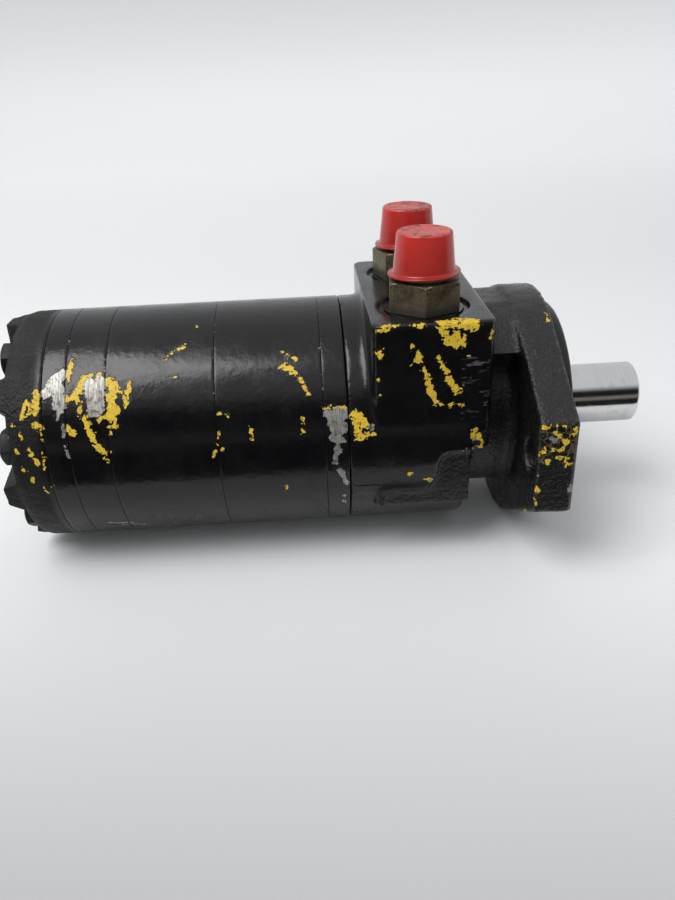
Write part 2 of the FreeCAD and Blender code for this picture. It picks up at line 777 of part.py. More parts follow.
def rotor_profile():
    """The six-lobed curve that stays in touch with seven rollers while its centre orbits them."""
    circle_radius = dim("roller_circle")
    offset = dim("roller_radius") + dim("rotor_play")
    shift = dim("eccentricity")
    count = 20 * (BOLTS - 1)
    points = []
    for i in range(count):
        turn = 2 * math.pi * i / count
        x = circle_radius * math.cos(turn) - shift * math.cos(BOLTS * turn)
        y = circle_radius * math.sin(turn) - shift * math.sin(BOLTS * turn)
        along_x = -circle_radius * math.sin(turn) + BOLTS * shift * math.sin(BOLTS * turn)
        along_y = circle_radius * math.cos(turn) - BOLTS * shift * math.cos(BOLTS * turn)
        length = math.hypot(along_x, along_y)
        points.append(FreeCAD.Vector(0, x - offset * along_y / length, y + offset * along_x / length))
    curve = Part.BSplineCurve()
    curve.interpolate(Points=points, PeriodicFlag=True)
    return curve


def make_rotor():
    """Made from the lobe curve, because no sketch or primitive draws it; sizes come from the sheet."""
    stack = 2 * dim("stator_length")
    length = stack - 2 * dim("end_play")
    along = FreeCAD.Vector(length, 0, 0)
    solid = Part.Face(Part.Wire(rotor_profile().toShape())).extrude(along)
    axis = FreeCAD.Vector(1, 0, 0)
    bore = Part.makeCylinder(dim("spline_root") + dim("spline_play"), length, FreeCAD.Vector(), axis)
    half = dim("spline_tooth_half") + dim("spline_play")
    tip = dim("spline_tip") + dim("spline_play")
    cuts = [bore]
    for i in range(TEETH):
        space = Part.makeBox(length, 2 * half, tip, FreeCAD.Vector(0, -half, 0))
        space.rotate(FreeCAD.Vector(), axis, 360.0 * i / TEETH)
        cuts.append(space)
    solid = solid.cut(cuts)
    rotor = doc.addObject("Part::Feature", "rotor")
    rotor.Label = "rotor"
    rotor.Shape = solid.removeSplitter()
    rear = value_of(STATOR_REAR) + dim("end_play")
    rotor.Placement = FreeCAD.Placement(FreeCAD.Vector(rear, 0, -dim("eccentricity")), FreeCAD.Rotation())
    PARTS.append(rotor)


def make_rollers():
    for i in range(BOLTS):
        angle = "(90 deg + 360 deg * %d / %d)" % (i, BOLTS)
        label = "roller_%d" % (i + 1)
        roller = bound_primitive("Cylinder", label, {
            "Radius": "roller_radius",
            "Height": "2 * stator_length - 2 * end_play",
        }, (
            STATOR_REAR + " + end_play",
            "roller_circle * cos(%s)" % angle,
            "roller_circle * sin(%s)" % angle,
        ))
        roller.Label = label
        PARTS.append(roller)


def make_commutator():
    """The valve ring and its face seal, both centred where the leaning link's nose is."""
    front = MANIFOLD_REAR + " - end_play"
    rear = RING_REAR + " + end_play"
    lean = dim("eccentricity") / (dim("rotor_spline_depth") - dim("pivot_depth"))
    middle = value_of("(%s + %s) / 2" % (MANIFOLD_REAR, RING_REAR))
    drop = lean * (-dim("pivot_depth") - middle)
    body = new_body("commutator")
    turned(body, "commutator_disc", [
        (front, "commutator_bore"),
        (front, "commutator_radius - 0.5"),
        (front + " - 0.5", "commutator_radius"),
        (rear + " + 0.5", "commutator_radius"),
        (rear, "commutator_radius - 0.5"),
        (rear, "commutator_seal_outer"),
        (rear + " + commutator_seal_depth", "commutator_seal_outer"),
        (rear + " + commutator_seal_depth", "commutator_seal_inner"),
        (rear, "commutator_seal_inner"),
        (rear, "commutator_bore"),
    ])
    hole_ring(body, "commutator_ports", "timing_radius", "commutator_radius - 3.6", "(90 deg)", front,
              "commutator_ring_thickness - 2 * end_play", BOLTS - 1)
    seal = simple_ring("commutator_seal", rear + " + commutator_seal_depth", rear,
                       "commutator_seal_inner", "commutator_seal_outer")
    for piece in (body, seal):
        piece.Placement.Base = FreeCAD.Vector(0, 0, -drop)


def make_body_seals():
    joints = (HOUSING_REAR + " + seal_thickness", WEAR_REAR, STATOR_JOINT, STATOR_REAR, MANIFOLD_REAR,
              RING_REAR)
    for number, front in enumerate(joints, start=1):
        simple_ring("body_seal_%d" % number, front, front + " - seal_thickness", "seal_inner",
                    "seal_outer")


def make_port_fittings():
    for letter, side in (("a", -1), ("b", 1)):
        place = ("-port_depth_along", "%d * port_spacing_half" % side, "block_top - spotface_depth")
        stem_top = "hex_height + stem_length"
        fitting = new_body("port_fitting_" + letter)
        hexagon = new_sketch(fitting, "hex_outline", "XY_Plane")
        corner = "hex_flats / 2 / cos(30 deg)"
        turns = ["((hex_turn_%s + %d) * 1 deg)" % (letter, 30 + 60 * i) for i in range(6)]
        polygon(hexagon, [("%s * cos%s" % (corner, t), "%s * sin%s" % (corner, t)) for t in turns])
        pad(fitting, "hex", hexagon, "spotface_depth + hex_height")
        base = "spotface_depth + "
        turned(fitting, "stem", [
            ("0", base + "hex_height - 1"),
            ("stem_root_radius", base + "hex_height - 1"),
            ("stem_root_radius", base + "hex_height + 1.6"),
            ("stem_radius", base + "hex_height + 2.4"),
            ("stem_radius", base + stem_top + " - stem_nose_length - 0.8"),
            ("stem_radius - 0.8", base + stem_top + " - stem_nose_length"),
            ("stem_nose_radius", base + stem_top),
            ("0", base + stem_top),
        ], role="XZ_Plane", axis="Z_Axis")
        turned(fitting, "plug", [
            ("0", "1"),
            ("plug_relief_radius", "1"),
            ("plug_relief_radius", "-plug_relief"),
            ("plug_radius", "-plug_relief - 1"),
            ("plug_radius", "-plug_length + 1"),
            ("plug_radius - 1", "-plug_length"),
            ("0", "-plug_length"),
        ], role="XZ_Plane", axis="Z_Axis")
        turned(fitting, "hex_bevel", [
            ("hex_flats / 2 + 0.7", base + "hex_height"),
            ("hex_flats / 2 + 4", base + "hex_height"),
            ("hex_flats / 2 + 4", base + "hex_height - 1.9"),
        ], kind="Groove", role="XZ_Plane", axis="Z_Axis")
        turned(fitting, "fitting_bore", [
            ("0", base + stem_top + " + 1"),
            ("fitting_bore", base + stem_top + " + 1"),
            ("fitting_bore", "-plug_length - 1"),
            ("0", "-plug_length - 1"),
        ], kind="Groove", role="XZ_Plane", axis="Z_Axis")

        seal = new_body("fitting_seal_" + letter)
        turned(seal, "seal", [
            ("plug_relief_radius", "0"),
            ("port_thread_radius", "0"),
            ("port_thread_radius", "-plug_relief + 0.4"),
            ("plug_relief_radius", "-plug_relief + 0.4"),
        ], role="XZ_Plane", axis="Z_Axis")

        cap = new_body("thread_cap_" + letter)
        foot = base + "hex_height + cap_gap"
        turned(cap, "cup", [
            ("0", foot + " + cap_height"),
            ("cap_top_radius - 0.8", foot + " + cap_height"),
            ("cap_top_radius", foot + " + cap_height - 0.8"),
            ("cap_foot_radius", foot + " + cap_rim_height + 0.6"),
            ("cap_foot_radius + 0.6", foot + " + cap_rim_height"),
            ("cap_rim_radius - 0.4", foot + " + cap_rim_height"),
            ("cap_rim_radius", foot + " + cap_rim_height - 0.4"),
            ("cap_rim_radius", foot + " + 0.4"),
            ("cap_rim_radius - 0.4", foot),
            ("cap_inner_radius", foot),
            ("cap_inner_radius", foot + " + cap_height - cap_roof - 3"),
            ("cap_inner_radius - 1", foot + " + cap_height - cap_roof"),
            ("0", foot + " + cap_height - cap_roof"),
        ], role="XZ_Plane", axis="Z_Axis")
        for piece in (fitting, seal, cap):
            for axis, expression in zip("xyz", place):
                piece.setExpression("Placement.Base." + axis, named(expression))


make_housing()
make_stack()
make_cover()
make_bolts()
make_shaft()
make_shaft_supports()
make_link()
make_rotor()
make_rollers()
make_commutator()
make_body_seals()
make_port_fittings()
doc.recompute()

for item in doc.Objects:
    if "Invalid" in item.State or "Error" in item.State:
        raise ValueError("%s is in state %s" % (item.Label, item.State))
for part in PARTS:
    if part.Shape.isNull() or not part.Shape.isValid():
        raise ValueError("%s has no valid shape" % part.Label)
for part in PARTS:
    part.Shape.exportStep("parts/%s.step" % part.Label)
    print("%-18s %d solids %10.0f mm3" % (part.Label, len(part.Shape.Solids), part.Shape.Volume))
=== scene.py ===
import math

import bmesh
import bpy
import numpy as np
from mathutils import Matrix, Vector, noise


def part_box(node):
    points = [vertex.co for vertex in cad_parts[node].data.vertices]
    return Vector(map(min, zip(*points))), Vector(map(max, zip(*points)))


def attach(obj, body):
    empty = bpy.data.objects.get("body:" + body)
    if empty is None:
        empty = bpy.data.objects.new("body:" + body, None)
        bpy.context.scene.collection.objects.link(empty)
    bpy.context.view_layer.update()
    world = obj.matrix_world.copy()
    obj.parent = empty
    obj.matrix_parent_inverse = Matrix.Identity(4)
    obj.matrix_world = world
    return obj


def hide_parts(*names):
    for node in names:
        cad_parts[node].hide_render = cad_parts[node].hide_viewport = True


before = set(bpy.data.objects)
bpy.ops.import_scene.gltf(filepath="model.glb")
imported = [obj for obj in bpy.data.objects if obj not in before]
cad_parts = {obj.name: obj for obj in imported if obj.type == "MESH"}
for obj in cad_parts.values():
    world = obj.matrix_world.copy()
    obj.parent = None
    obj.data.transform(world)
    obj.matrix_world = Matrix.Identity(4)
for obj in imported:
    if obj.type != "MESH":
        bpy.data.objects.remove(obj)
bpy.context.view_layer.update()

# Lengths are written in millimetres and scaled to metres where a mesh or a shader is made.
MM = 0.001

# ---- Sizes, read from the frame where it has them


def span(node, axis):
    """The lowest and highest coordinate of a CAD node along one axis, in mm."""
    low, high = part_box(node)
    return low[axis] / MM, high[axis] / MM


def port_centre(letter):
    return (PORT_X, sum(CAPS[letter]) / 2, 0)


# Body: the round stack, the flange and the port block
BODY_R = span("manifold", 2)[1]
FLANGE_BACK = -14.2
PILOT_FACE = span("housing", 0)[1]
BLOCK_TOP = span("housing", 2)[1]
LUG_END = span("housing", 1)[1]
FLOOR = span("housing", 2)[0]
COVER_FRONT = span("end_cover", 0)[1]
NECK_END = -33.95
BLOCK_FRONT = -26.75
BLOCK_SIDE = 45.5

# Cover bolts, whose heads are measured with their washers, and the rollers' pockets
BOLTS = 7
BOLT_CIRCLE = 38.6
BOLT_HOLE = 4.2
BOLT_SHANK = 3.97
BOLT_FLATS = 12.7
BOLT_HEAD = 5.3
WASHER = 0.5
WASHER_R = 6.5
BOLT_REAR, BOLT_FRONT = span("cover_bolts", 0)
BOLT_SEAT = BOLT_REAR + BOLT_HEAD
POCKET_CIRCLE = 27.5
POCKET_R = 5.35

# Ports: the caps' ranges across the motor, and the adapters under them
CAPS = {"a": span("thread_cap_a", 1), "b": span("thread_cap_b", 1)}
PORT_X = sum(span("thread_cap_a", 0)) / 2
SPOT_FACE = 17.3
HEX_FLATS = 25.4
HEX_TURN = {"a": 24, "b": 46}
HEX_TOP = BLOCK_TOP + 10.5
STEM_TOP = HEX_TOP + 15.6
STEM_R = 9.5
STEM_PITCH = 1.5875
PLUG_R = 11.05
PLUG_PITCH = 1.814

# Shaft: its output end, its journal in the seal and its drum inside the housing
SHAFT_REAR, SHAFT_END = span("output_shaft", 0)
SHAFT_R = 12.7
SHAFT_ROUND = 1.5
JOURNAL_R = 13.2
DRUM_R = 20
DRUM_FRONT = FLANGE_BACK - 9.15
LINK_BORE = 9.95
KEYWAY_LENGTH = 31.75
KEYWAY_HALF = 3.175
KEYWAY_FLOOR = -9.1

# ---- Mesh helpers


def add_object(name, mesh):
    piece = bpy.data.objects.new(name, mesh)
    bpy.context.scene.collection.objects.link(piece)
    return piece


def mesh_piece(name, verts, faces):
    """A new smooth object from vertices in mm."""
    mesh = bpy.data.meshes.new(name)
    mesh.from_pydata([Vector(v) * MM for v in verts], [], faces)
    mesh.validate()
    mesh.shade_smooth()
    return add_object(name, mesh)


def lathe(name, profile, segments, axis="X", centre=(0, 0, 0)):
    """Turns a closed profile of (along, radius) pairs in mm; points of no radius join at the axis."""
    verts = []
    rings = []
    for along, radius in profile:
        if radius < 1e-6:
            verts.append(turn_point(axis, centre, along, 0, 0))
            rings.append([len(verts) - 1])
            continue
        ring = []
        for i in range(segments):
            verts.append(turn_point(axis, centre, along, radius, 2 * math.pi * i / segments))
            ring.append(len(verts) - 1)
        rings.append(ring)
    faces = []
    for k, ring in enumerate(rings):
        after = rings[(k + 1) % len(rings)]
        if len(ring) == 1 and len(after) == 1:
            continue
        for i in range(segments):
            j = (i + 1) % segments
            quad = [ring[i % len(ring)], ring[j % len(ring)], after[j % len(after)], after[i % len(after)]]
            faces.append([v for n, v in enumerate(quad) if v not in quad[:n]])
    piece = mesh_piece(name, verts, faces)
    face_outwards(piece)
    return piece


def turn_point(axis, centre, along, radius, angle):
    c, s = radius * math.cos(angle), radius * math.sin(angle)
    x, y, z = (along, c, s) if axis == "X" else (c, s, along)
    return (x + centre[0], y + centre[1], z + centre[2])


def face_outwards(piece):
    work = bmesh.new()
    work.from_mesh(piece.data)
    bmesh.ops.recalc_face_normals(work, faces=work.faces)
    work.to_mesh(piece.data)
    work.free()


def dense_profile(profile, step):
    """Adds points along a profile's long runs, so that the mesh can carry chips and waves."""
    out = []
    for k, start in enumerate(profile):
        end = profile[(k + 1) % len(profile)]
        out.append(start)
        length = math.dist(start, end)
        outer = min(start[1], end[1]) > BODY_R - 8
        count = int(length / step) if outer else 0
        for i in range(1, count):
            part = i / count
            out.append((start[0] + (end[0] - start[0]) * part, start[1] + (end[1] - start[1]) * part))
    return out


def apply_modifiers(piece):
    graph = bpy.context.evaluated_depsgraph_get()
    graph.update()
    mesh = bpy.data.meshes.new_from_object(piece.evaluated_get(graph))
    piece.modifiers.clear()
    piece.data = mesh


def boolean(piece, tool, operation):
    """Cuts the tool out of a piece, or keeps what is inside it, and then removes the tool."""
    change = piece.modifiers.new("change", "BOOLEAN")
    change.object = tool
    change.operation = operation
    change.solver = "EXACT"
    apply_modifiers(piece)
    bpy.data.objects.remove(tool)


def joined(name, pieces):
    """One object from several whose meshes don't touch."""
    work = bmesh.new()
    for piece in pieces:
        work.from_mesh(piece.data)
    mesh = bpy.data.meshes.new(name)
    work.to_mesh(mesh)
    work.free()
    for piece in pieces:
        bpy.data.objects.remove(piece)
    result = add_object(name, mesh)
    mesh.shade_smooth()
    return result


def smooth_by_angle(piece, degrees):
    """Smooth shading with sharp edges kept where faces meet at more than an angle."""
    mesh = piece.data
    mesh.shade_smooth()
    work = bmesh.new()
    work.from_mesh(mesh)
    limit = math.radians(degrees)
    for edge in work.edges:
        edge.smooth = len(edge.link_faces) == 2 and edge.calc_face_angle(0) < limit
    work.to_mesh(mesh)
    work.free()
    return piece


def add_bevel(piece, width, degrees):
    """Breaks the edges where faces meet at more than an angle; the width is in mm."""
    change = piece.modifiers.new("edge", "BEVEL")
    change.width = width * MM
    change.segments = 2
    change.limit_method = "ANGLE"
    change.angle_limit = math.radians(degrees)


def place(piece, body, node):
    """The new piece rides on a body and stands for a CAD node, which is hidden."""
    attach(piece, body)
    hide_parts(node)


# ---- Chips and scratches: strokes on the surface, each a half width and a run of points, in mm


def on_body(x, degrees):
    """A point on the round body; the angle is measured upwards from the front."""
    angle = math.radians(degrees)
    return (x, -BODY_R * math.cos(angle), BODY_R * math.sin(angle))


def on_front(x, z):
    return (x, -BLOCK_SIDE, z)


def on_lug(x, z):
    return (x, -LUG_END, z)


# Each point is its place along the motor and its angle for on_body
YELLOW_BODY = [
    # End cover
    (0.8, [(-200, 27), (-198, 34)]),
    (0.7, [(-197.5, 28), (-196.5, 34)]),
    (1.4, [(-194.6, 29), (-194, 38)]),
    (1.0, [(-195.5, 23), (-194.4, 25)]),
    (0.7, [(-193.2, 24), (-193, 18)]),
    (0.5, [(-205, 19), (-204.6, 18)]),
    (0.5, [(-203, 14), (-202, 11)]),
    (0.6, [(-194.2, 12), (-193.4, 8.5), (-193.8, 4)]),
    (0.7, [(-193, -4), (-192.6, -5)]),
    (0.7, [(-200.5, 21), (-199.6, 18)]),
    (0.6, [(-203.5, 25), (-202.8, 23)]),
    (0.8, [(-198.2, 14), (-197.4, 11)]),
    (0.7, [(-196.4, 8), (-196, 6)]),
    (0.7, [(-201.4, 4), (-200.8, 1.5)]),
    (0.6, [(-199.2, -1), (-198.8, -4)]),
    (0.6, [(-195.6, -7), (-195, -9)]),
    (0.5, [(-205.3, 5), (-205, 3)]),
    # Manifold and the rear stator half
    (1.0, [(-181.8, 54), (-183, 43)]),
    (1.3, [(-182.4, 34.7), (-179.5, 34.5)]),
    (2.0, [(-179.4, 38), (-176, 43.5)]),
    (1.0, [(-176.5, 44.6), (-171, 45.6)]),
    (0.9, [(-178, 32.5), (-178.8, 28)]),
    (1.6, [(-177, 25.5), (-174.2, 15.5)]),
    (1.1, [(-173.8, 13.3), (-170.2, 9.3)]),
    (0.9, [(-171, 5.8), (-170.7, 4.8)]),
    (1.1, [(-172.3, 24.7), (-169.6, 26)]),
    (2.0, [(-167.3, 42), (-164.6, 38)]),
    (2.1, [(-167, 37.5), (-166.7, 27.5)]),
    (1.5, [(-165.6, 31), (-164.2, 28.5)]),
    (1.1, [(-160, 40), (-161.4, 34.7), (-162.2, 30.5)]),
    (0.8, [(-167.6, 25), (-168.1, 18)]),
    (1.0, [(-166.5, 22.5), (-166, 21.5)]),
    (1.0, [(-183.5, 22.6), (-181.3, 17.8)]),
    # Stator halves
    (0.6, [(-147, 52), (-144, 55.5), (-140.7, 58)]),
    (0.35, [(-146, 43), (-143, 42.4)]),
    (0.6, [(-127.7, 24.8), (-124.7, 23.8)]),
    (0.45, [(-131.1, 5.6), (-129.8, 11), (-128.4, 17.2)]),
    (0.6, [(-128, 8.6), (-127.6, 8)]),
    (0.6, [(-136.3, 70.3), (-136, 69.6)]),
    (0.6, [(-117, 17.3), (-116.5, 12.7)]),
    (0.8, [(-105.1, -14.2), (-104.8, -14.8)]),
    (0.6, [(-103.3, 52), (-98.3, 47.4)]),
    (0.8, [(-104.3, 45), (-97.5, 38.6)]),
    (1.0, [(-98.3, 38.7), (-94.5, 31.1)]),
    (0.6, [(-97.3, 20.5), (-97.6, 14)]),
    (0.5, [(-102, 50.2), (-100.3, 42.6)]),
    # Rim of the wear plate's bare patch and the housing's rear ring
    (0.9, [(-89, 24), (-81.4, 23.8)]),
    (1.7, [(-78, 21), (-76.9, 10)]),
    (1.2, [(-76.5, 9.8), (-71, 11.7)]),
    (1.5, [(-75.4, 19), (-73.3, 15.2)]),
]

BARE_BODY = [
    (2.6, [(-190.3, 38), (-185.6, 46)]),
    (2.3, [(-186.4, 40), (-186, 31)]),
    (1.0, [(-186.7, 29), (-186.9, 25.7)]),
    (2.9, [(-174.4, 40.5), (-172.8, 29)]),
    (1.9, [(-171.2, 43), (-171.2, 29)]),
    (0.8, [(-184.9, 23.5), (-185, 18.4)]),
    (0.9, [(-184.9, 14), (-184.7, 9)]),
    (2.1, [(-88, 21.7), (-82.2, 21.2)]),
    (3.2, [(-85.4, 17), (-84, 15.4)]),
    (1.7, [(-86.8, 10.6), (-83.2, 9.3)]),
    (1.4, [(-84.9, 5.6), (-86.2, -1.5)]),
    (1.2, [(-84.4, -6), (-82.2, -13.4)]),
    (0.7, [(-83, -22.6), (-83.1, -34)]),
    (1.3, [(-72.6, 15), (-72, 14)]),
    (0.9, [(-176.6, -36), (-171, -37), (-166.4, -39)]),
    (0.8, [(-174, -39), (-164, -41)]),
]

# Each point is its x and z on the block's front
YELLOW_BLOCK = [
    (0.9, [(-71, 49.6), (-68.6, 48.8), (-65.5, 49.4)]),
    (0.5, [(-63.8, 50.2), (-61.5, 50.3)]),
    (0.7, [(-54.3, 49.6), (-51.2, 49.8)]),
    (0.6, [(-60, 50.6), (-50, 50.6)]),
    (1.6, [(-46.6, 49), (-44.3, 43)]),
    (1.9, [(-41.3, 46.4), (-41.8, 43.2)]),
    (1.4, [(-38.4, 45.4), (-39.2, 42.2)]),
    (1.2, [(-48, 49.6), (-33.6, 49)]),
    (1.0, [(-28.7, 47.6), (-28.6, 45)]),
    (1.7, [(-68.8, 41), (-68.6, 40.2)]),
    (0.9, [(-70.5, 30.7), (-69.2, 30.5)]),
    (1.1, [(-70.9, 24.8), (-69.2, 23.9)]),
    (1.0, [(-54.9, 39.9), (-51.8, 31.4)]),
    (1.5, [(-51.8, 31.4), (-50.4, 25.7), (-48, 21.2)]),
    (0.6, [(-54.9, 38.5), (-57.4, 34.9)]),
    (0.8, [(-56.9, 43.3), (-56.9, 42.6)]),
    (0.6, [(-49.2, 19.7), (-38.3, 18.9)]),
    (1.1, [(-47.8, 38.1), (-44, 32)]),
    (1.4, [(-43.3, 29.5), (-40.5, 24.4)]),
    (0.8, [(-41.2, 26.5), (-38.7, 25.5)]),
    (0.7, [(-37.7, 38), (-36.1, 37.9)]),
    (0.8, [(-39.8, 1.4), (-36.3, 4), (-34.2, 4.6)]),
    (0.9, [(-34.6, 5.4), (-34.3, 8.2), (-32.1, 8.2), (-31.2, 5.3), (-30.2, 2.6)]),
    (0.7, [(-30.2, 1.2), (-38, 0.9)]),
    (1.0, [(-57.9, -8), (-57.6, -8.4)]),
    (1.3, [(-50.6, -12), (-50.2, -12.5)]),
]

BARE_BLOCK = [
    (0.4, [(-33.4, 3.6), (-32.6, 4)]),
    (0.7, [(-50.5, -12.1), (-50.1, -12.5)]),
]

# The block's upper front edge, in x, y and z
YELLOW_TOP = [
    (1.9, [(-47, -44.2, 50.8), (-35.5, -44.2, 50.8)]),
    (1.0, [(-42, -41.6, 50.8), (-37.4, -42, 50.8)]),
    (1.1, [(-71, -45, 50.8), (-65, -45.2, 50.8)]),
    (1.0, [(-63, -45.3, 50.8), (-53, -45.3, 50.8)]),
]

# Each point is its x and z on the end of the near lug
YELLOW_LUG = [
    (0.8, [(-13.9, 16.8), (-10.1, 16)]),
    (0.9, [(-8.7, 15), (-4.2, 11)]),
    (0.7, [(-4.2, 11), (-6.2, 7.5)]),
    (1.0, [(-13.5, 7.6), (-12.8, 7)]),
    (1.0, [(-11.3, 3.7), (-10.6, 3.3)]),
    (0.9, [(-7, 4.7), (-1.2, 4.2)]),
    (1.0, [(-1.6, 16), (-2.2, 13.2)]),
    (0.6, [(-12, 9.4), (-7, 7.2)]),
    (1.0, [(-13.9, -7), (-13.7, -9)]),
    (0.7, [(-14, -12), (-13.8, -14.6)]),
    (0.6, [(-13.9, 21), (-13.9, 18.8)]),
    (0.55, [(-13.6, 17.6), (-1.2, 17.4)]),
    (0.4, [(-14, 10), (-14, 2)]),
    (0.35, [(-14, -1), (-14, -6)]),
    (0.4, [(-4.8, 2.6), (-4, 1.2), (-1, 3)]),
]

BARE_LUG = [
    (1.2, [(-10, 12.6), (-8.4, 11.4)]),
    (1.2, [(-1.4, -7.6), (-1.2, -9.2)]),
    (0.5, [(-13.9, -2), (-13.9, -7)]),
]

YELLOW_FLANGE = [
    (0.8, [(-2, -19.6, 44), (-1.8, -23.6, 42)]),
    (0.6, [(-14, -55.1, -22.7), (-13.6, -53, -24)]),
]

YELLOW = (
    [(w, [on_body(*p) for p in run]) for w, run in YELLOW_BODY]
    + [(w, [on_front(*p) for p in run]) for w, run in YELLOW_BLOCK]
    + YELLOW_TOP
    + [(w, [on_lug(*p) for p in run]) for w, run in YELLOW_LUG]
    + YELLOW_FLANGE
)

# Worn joints of the stack: place along the motor, and the angles where the wear starts and ends
SEAMS = [
    (COVER_FRONT, 12, 66),
    (span("commutator_ring", 0)[1], 36, 66),
    (span("manifold", 0)[1], 30, 54),
    (span("stator_front", 0)[0], 30, 72),
    (span("wear_plate", 0)[0], 24, 84),
]
# Negative, so that a joint's wear shows only where the torn edge of a chip reaches out to it
SEAM_WIDTH = -0.2
BARE = (
    [(SEAM_WIDTH, [on_body(x, degrees) for degrees in range(low, high + 1, 6)]) for x, low, high in SEAMS]
    + [(w, [on_body(*p) for p in run]) for w, run in BARE_BODY]
    + [(w, [on_front(*p) for p in run]) for w, run in BARE_BLOCK]
    + [(w, [on_lug(*p) for p in run]) for w, run in BARE_LUG]
)


def hidden_side(strokes, shift, scale):
    """Every third chip again on the side away from the front, moved along and made smaller."""
    out = []
    for width, run in strokes[::3]:
        mirrored = [(x + shift, -y, z if x > FLANGE_BACK else z * 0.9) for x, y, z in run]
        out.append((width * scale, mirrored))
    return out


FAR_FROM_STROKES = -8.0


def stroke_depth(points, strokes):
    """For each point, how deep it lies inside the nearest stroke, in mm; negative outside."""
    best = np.full(len(points), FAR_FROM_STROKES)
    for half, run in strokes:
        run = np.array(run, float)
        for start, end in zip(run[:-1], run[1:]):
            along = end - start
            length = max(float(along @ along), 1e-9)
            part = np.clip((points - start) @ along / length, 0, 1)
            gap = np.linalg.norm(points - (start + part[:, None] * along), axis=1)
            best = np.maximum(best, half - gap)
    return best


def vertex_points(mesh):
    """The mesh's vertices as rows of x, y and z, in mm."""
    flat = np.zeros(len(mesh.vertices) * 3)
    mesh.vertices.foreach_get("co", flat)
    return flat.reshape(-1, 3) / MM


def write_layer(mesh, name, values):
    layer = mesh.attributes.new(name, "FLOAT", "POINT")
    layer.data.foreach_set("value", values)


def inside_box(points, low, high, soft):
    """1 well inside a box, falling to 0 at its faces."""
    reach = np.minimum(points - np.array(low), np.array(high) - points).min(axis=1)
    return np.clip(reach / soft, 0, 1)


# Boxes in mm in which the paint is crackled, scuffed along the motor, or dull and painted darker as shade
REGION_EDGE = 2.5
REGIONS = [
    ("crackle", (-15.5, -70, -1), (2, -62, 20)),
    ("scuffs", (-40.5, -48, 11), (-26.5, -43, 46.5)),
    ("dull_and_shaded", (-230, -60, -60), (COVER_FRONT - 0.5, 60, 60)),
]


def paint_wear(piece, cast=None):
    """Writes the wear on the mesh for the paint's shader: depth inside the yellow and the bare
    strokes, how rough the casting is, and the regions of crackled, scuffed, and dull paint that is also
    painted darker as shade."""
    mesh = piece.data
    points = vertex_points(mesh)
    for name, strokes in (("yellow_depth", YELLOW), ("bare_depth", BARE)):
        every = strokes + hidden_side(strokes, shift=3.0, scale=0.8)
        write_layer(mesh, name, stroke_depth(points, every))
    if cast:
        write_layer(mesh, "cast", [cast(point) for point in points])
    for name, low, high in REGIONS:
        write_layer(mesh, name, inside_box(points, low, high, REGION_EDGE))


# ---- Shader helpers

PER_MM = 1 / MM


class Nodes:
    """An emptied node tree, with short calls for the nodes used again and again."""

    def __init__(self, owner, space):
        owner.use_nodes = True
        self.tree = owner.node_tree
        self.tree.nodes.clear()
        self.coordinates = self.node("ShaderNodeTexCoord").outputs[space]

    def node(self, kind, **settings):
        made = self.tree.nodes.new(kind)
        for key, value in settings.items():
            setattr(made, key, value)
        return made

    def feed(self, socket, value):
        if isinstance(value, bpy.types.NodeSocket):
            self.tree.links.new(value, socket)
        else:
            socket.default_value = value

    def noise(self, scale, detail=4.0, roughness=0.55, distortion=0.0, vector=None):
        made = self.node("ShaderNodeTexNoise")
        self.feed(made.inputs["Vector"], vector or self.coordinates)
        self.feed(made.inputs["Scale"], scale)
        self.feed(made.inputs["Detail"], detail)
        self.feed(made.inputs["Roughness"], roughness)
        self.feed(made.inputs["Distortion"], distortion)
        return made.outputs["Fac"]

    def cells(self, scale, feature="F1"):
        made = self.node("ShaderNodeTexVoronoi", feature=feature)
        self.feed(made.inputs["Vector"], self.coordinates)
        self.feed(made.inputs["Scale"], scale)
        return made.outputs["Distance"]

    def axes(self):
        """The coordinates' X, Y and Z, each as a socket."""
        made = self.node("ShaderNodeSeparateXYZ")
        self.feed(made.inputs[0], self.coordinates)
        return made.outputs["X"], made.outputs["Y"], made.outputs["Z"]

    def stretched(self, x, y, z):
        made = self.node("ShaderNodeMapping")
        self.feed(made.inputs["Vector"], self.coordinates)
        made.inputs["Scale"].default_value = (x, y, z)
        return made.outputs["Vector"]

    def sum(self, kind, a, b=0.0, c=0.0):
        made = self.node("ShaderNodeMath", operation=kind)
        for socket, value in zip(made.inputs, (a, b, c)):
            self.feed(socket, value)
        return made.outputs[0]

    def ramp(self, value, low, high, to_low=0.0, to_high=1.0):
        made = self.node("ShaderNodeMapRange", clamp=True)
        for key, item in (("Value", value), ("From Min", low), ("From Max", high),
                          ("To Min", to_low), ("To Max", to_high)):
            self.feed(made.inputs[key], item)
        return made.outputs["Result"]

    def blend(self, factor, a, b):
        made = self.node("ShaderNodeMix", data_type="RGBA")
        self.feed(made.inputs["Factor"], factor)
        for key, value in (("A", a), ("B", b)):
            socket = [s for s in made.inputs if s.name == key and s.type == "RGBA"][0]
            self.feed(socket, value if isinstance(value, bpy.types.NodeSocket) else (*value, 1))
        return [s for s in made.outputs if s.type == "RGBA"][0]

    def attribute(self, name):
        return self.node("ShaderNodeAttribute", attribute_name=name).outputs["Fac"]

    def bump(self, height, distance, strength=1.0, normal=None):
        made = self.node("ShaderNodeBump")
        self.feed(made.inputs["Height"], height)
        made.inputs["Distance"].default_value = distance * MM
        made.inputs["Strength"].default_value = strength
        if normal:
            self.feed(made.inputs["Normal"], normal)
        return made.outputs["Normal"]


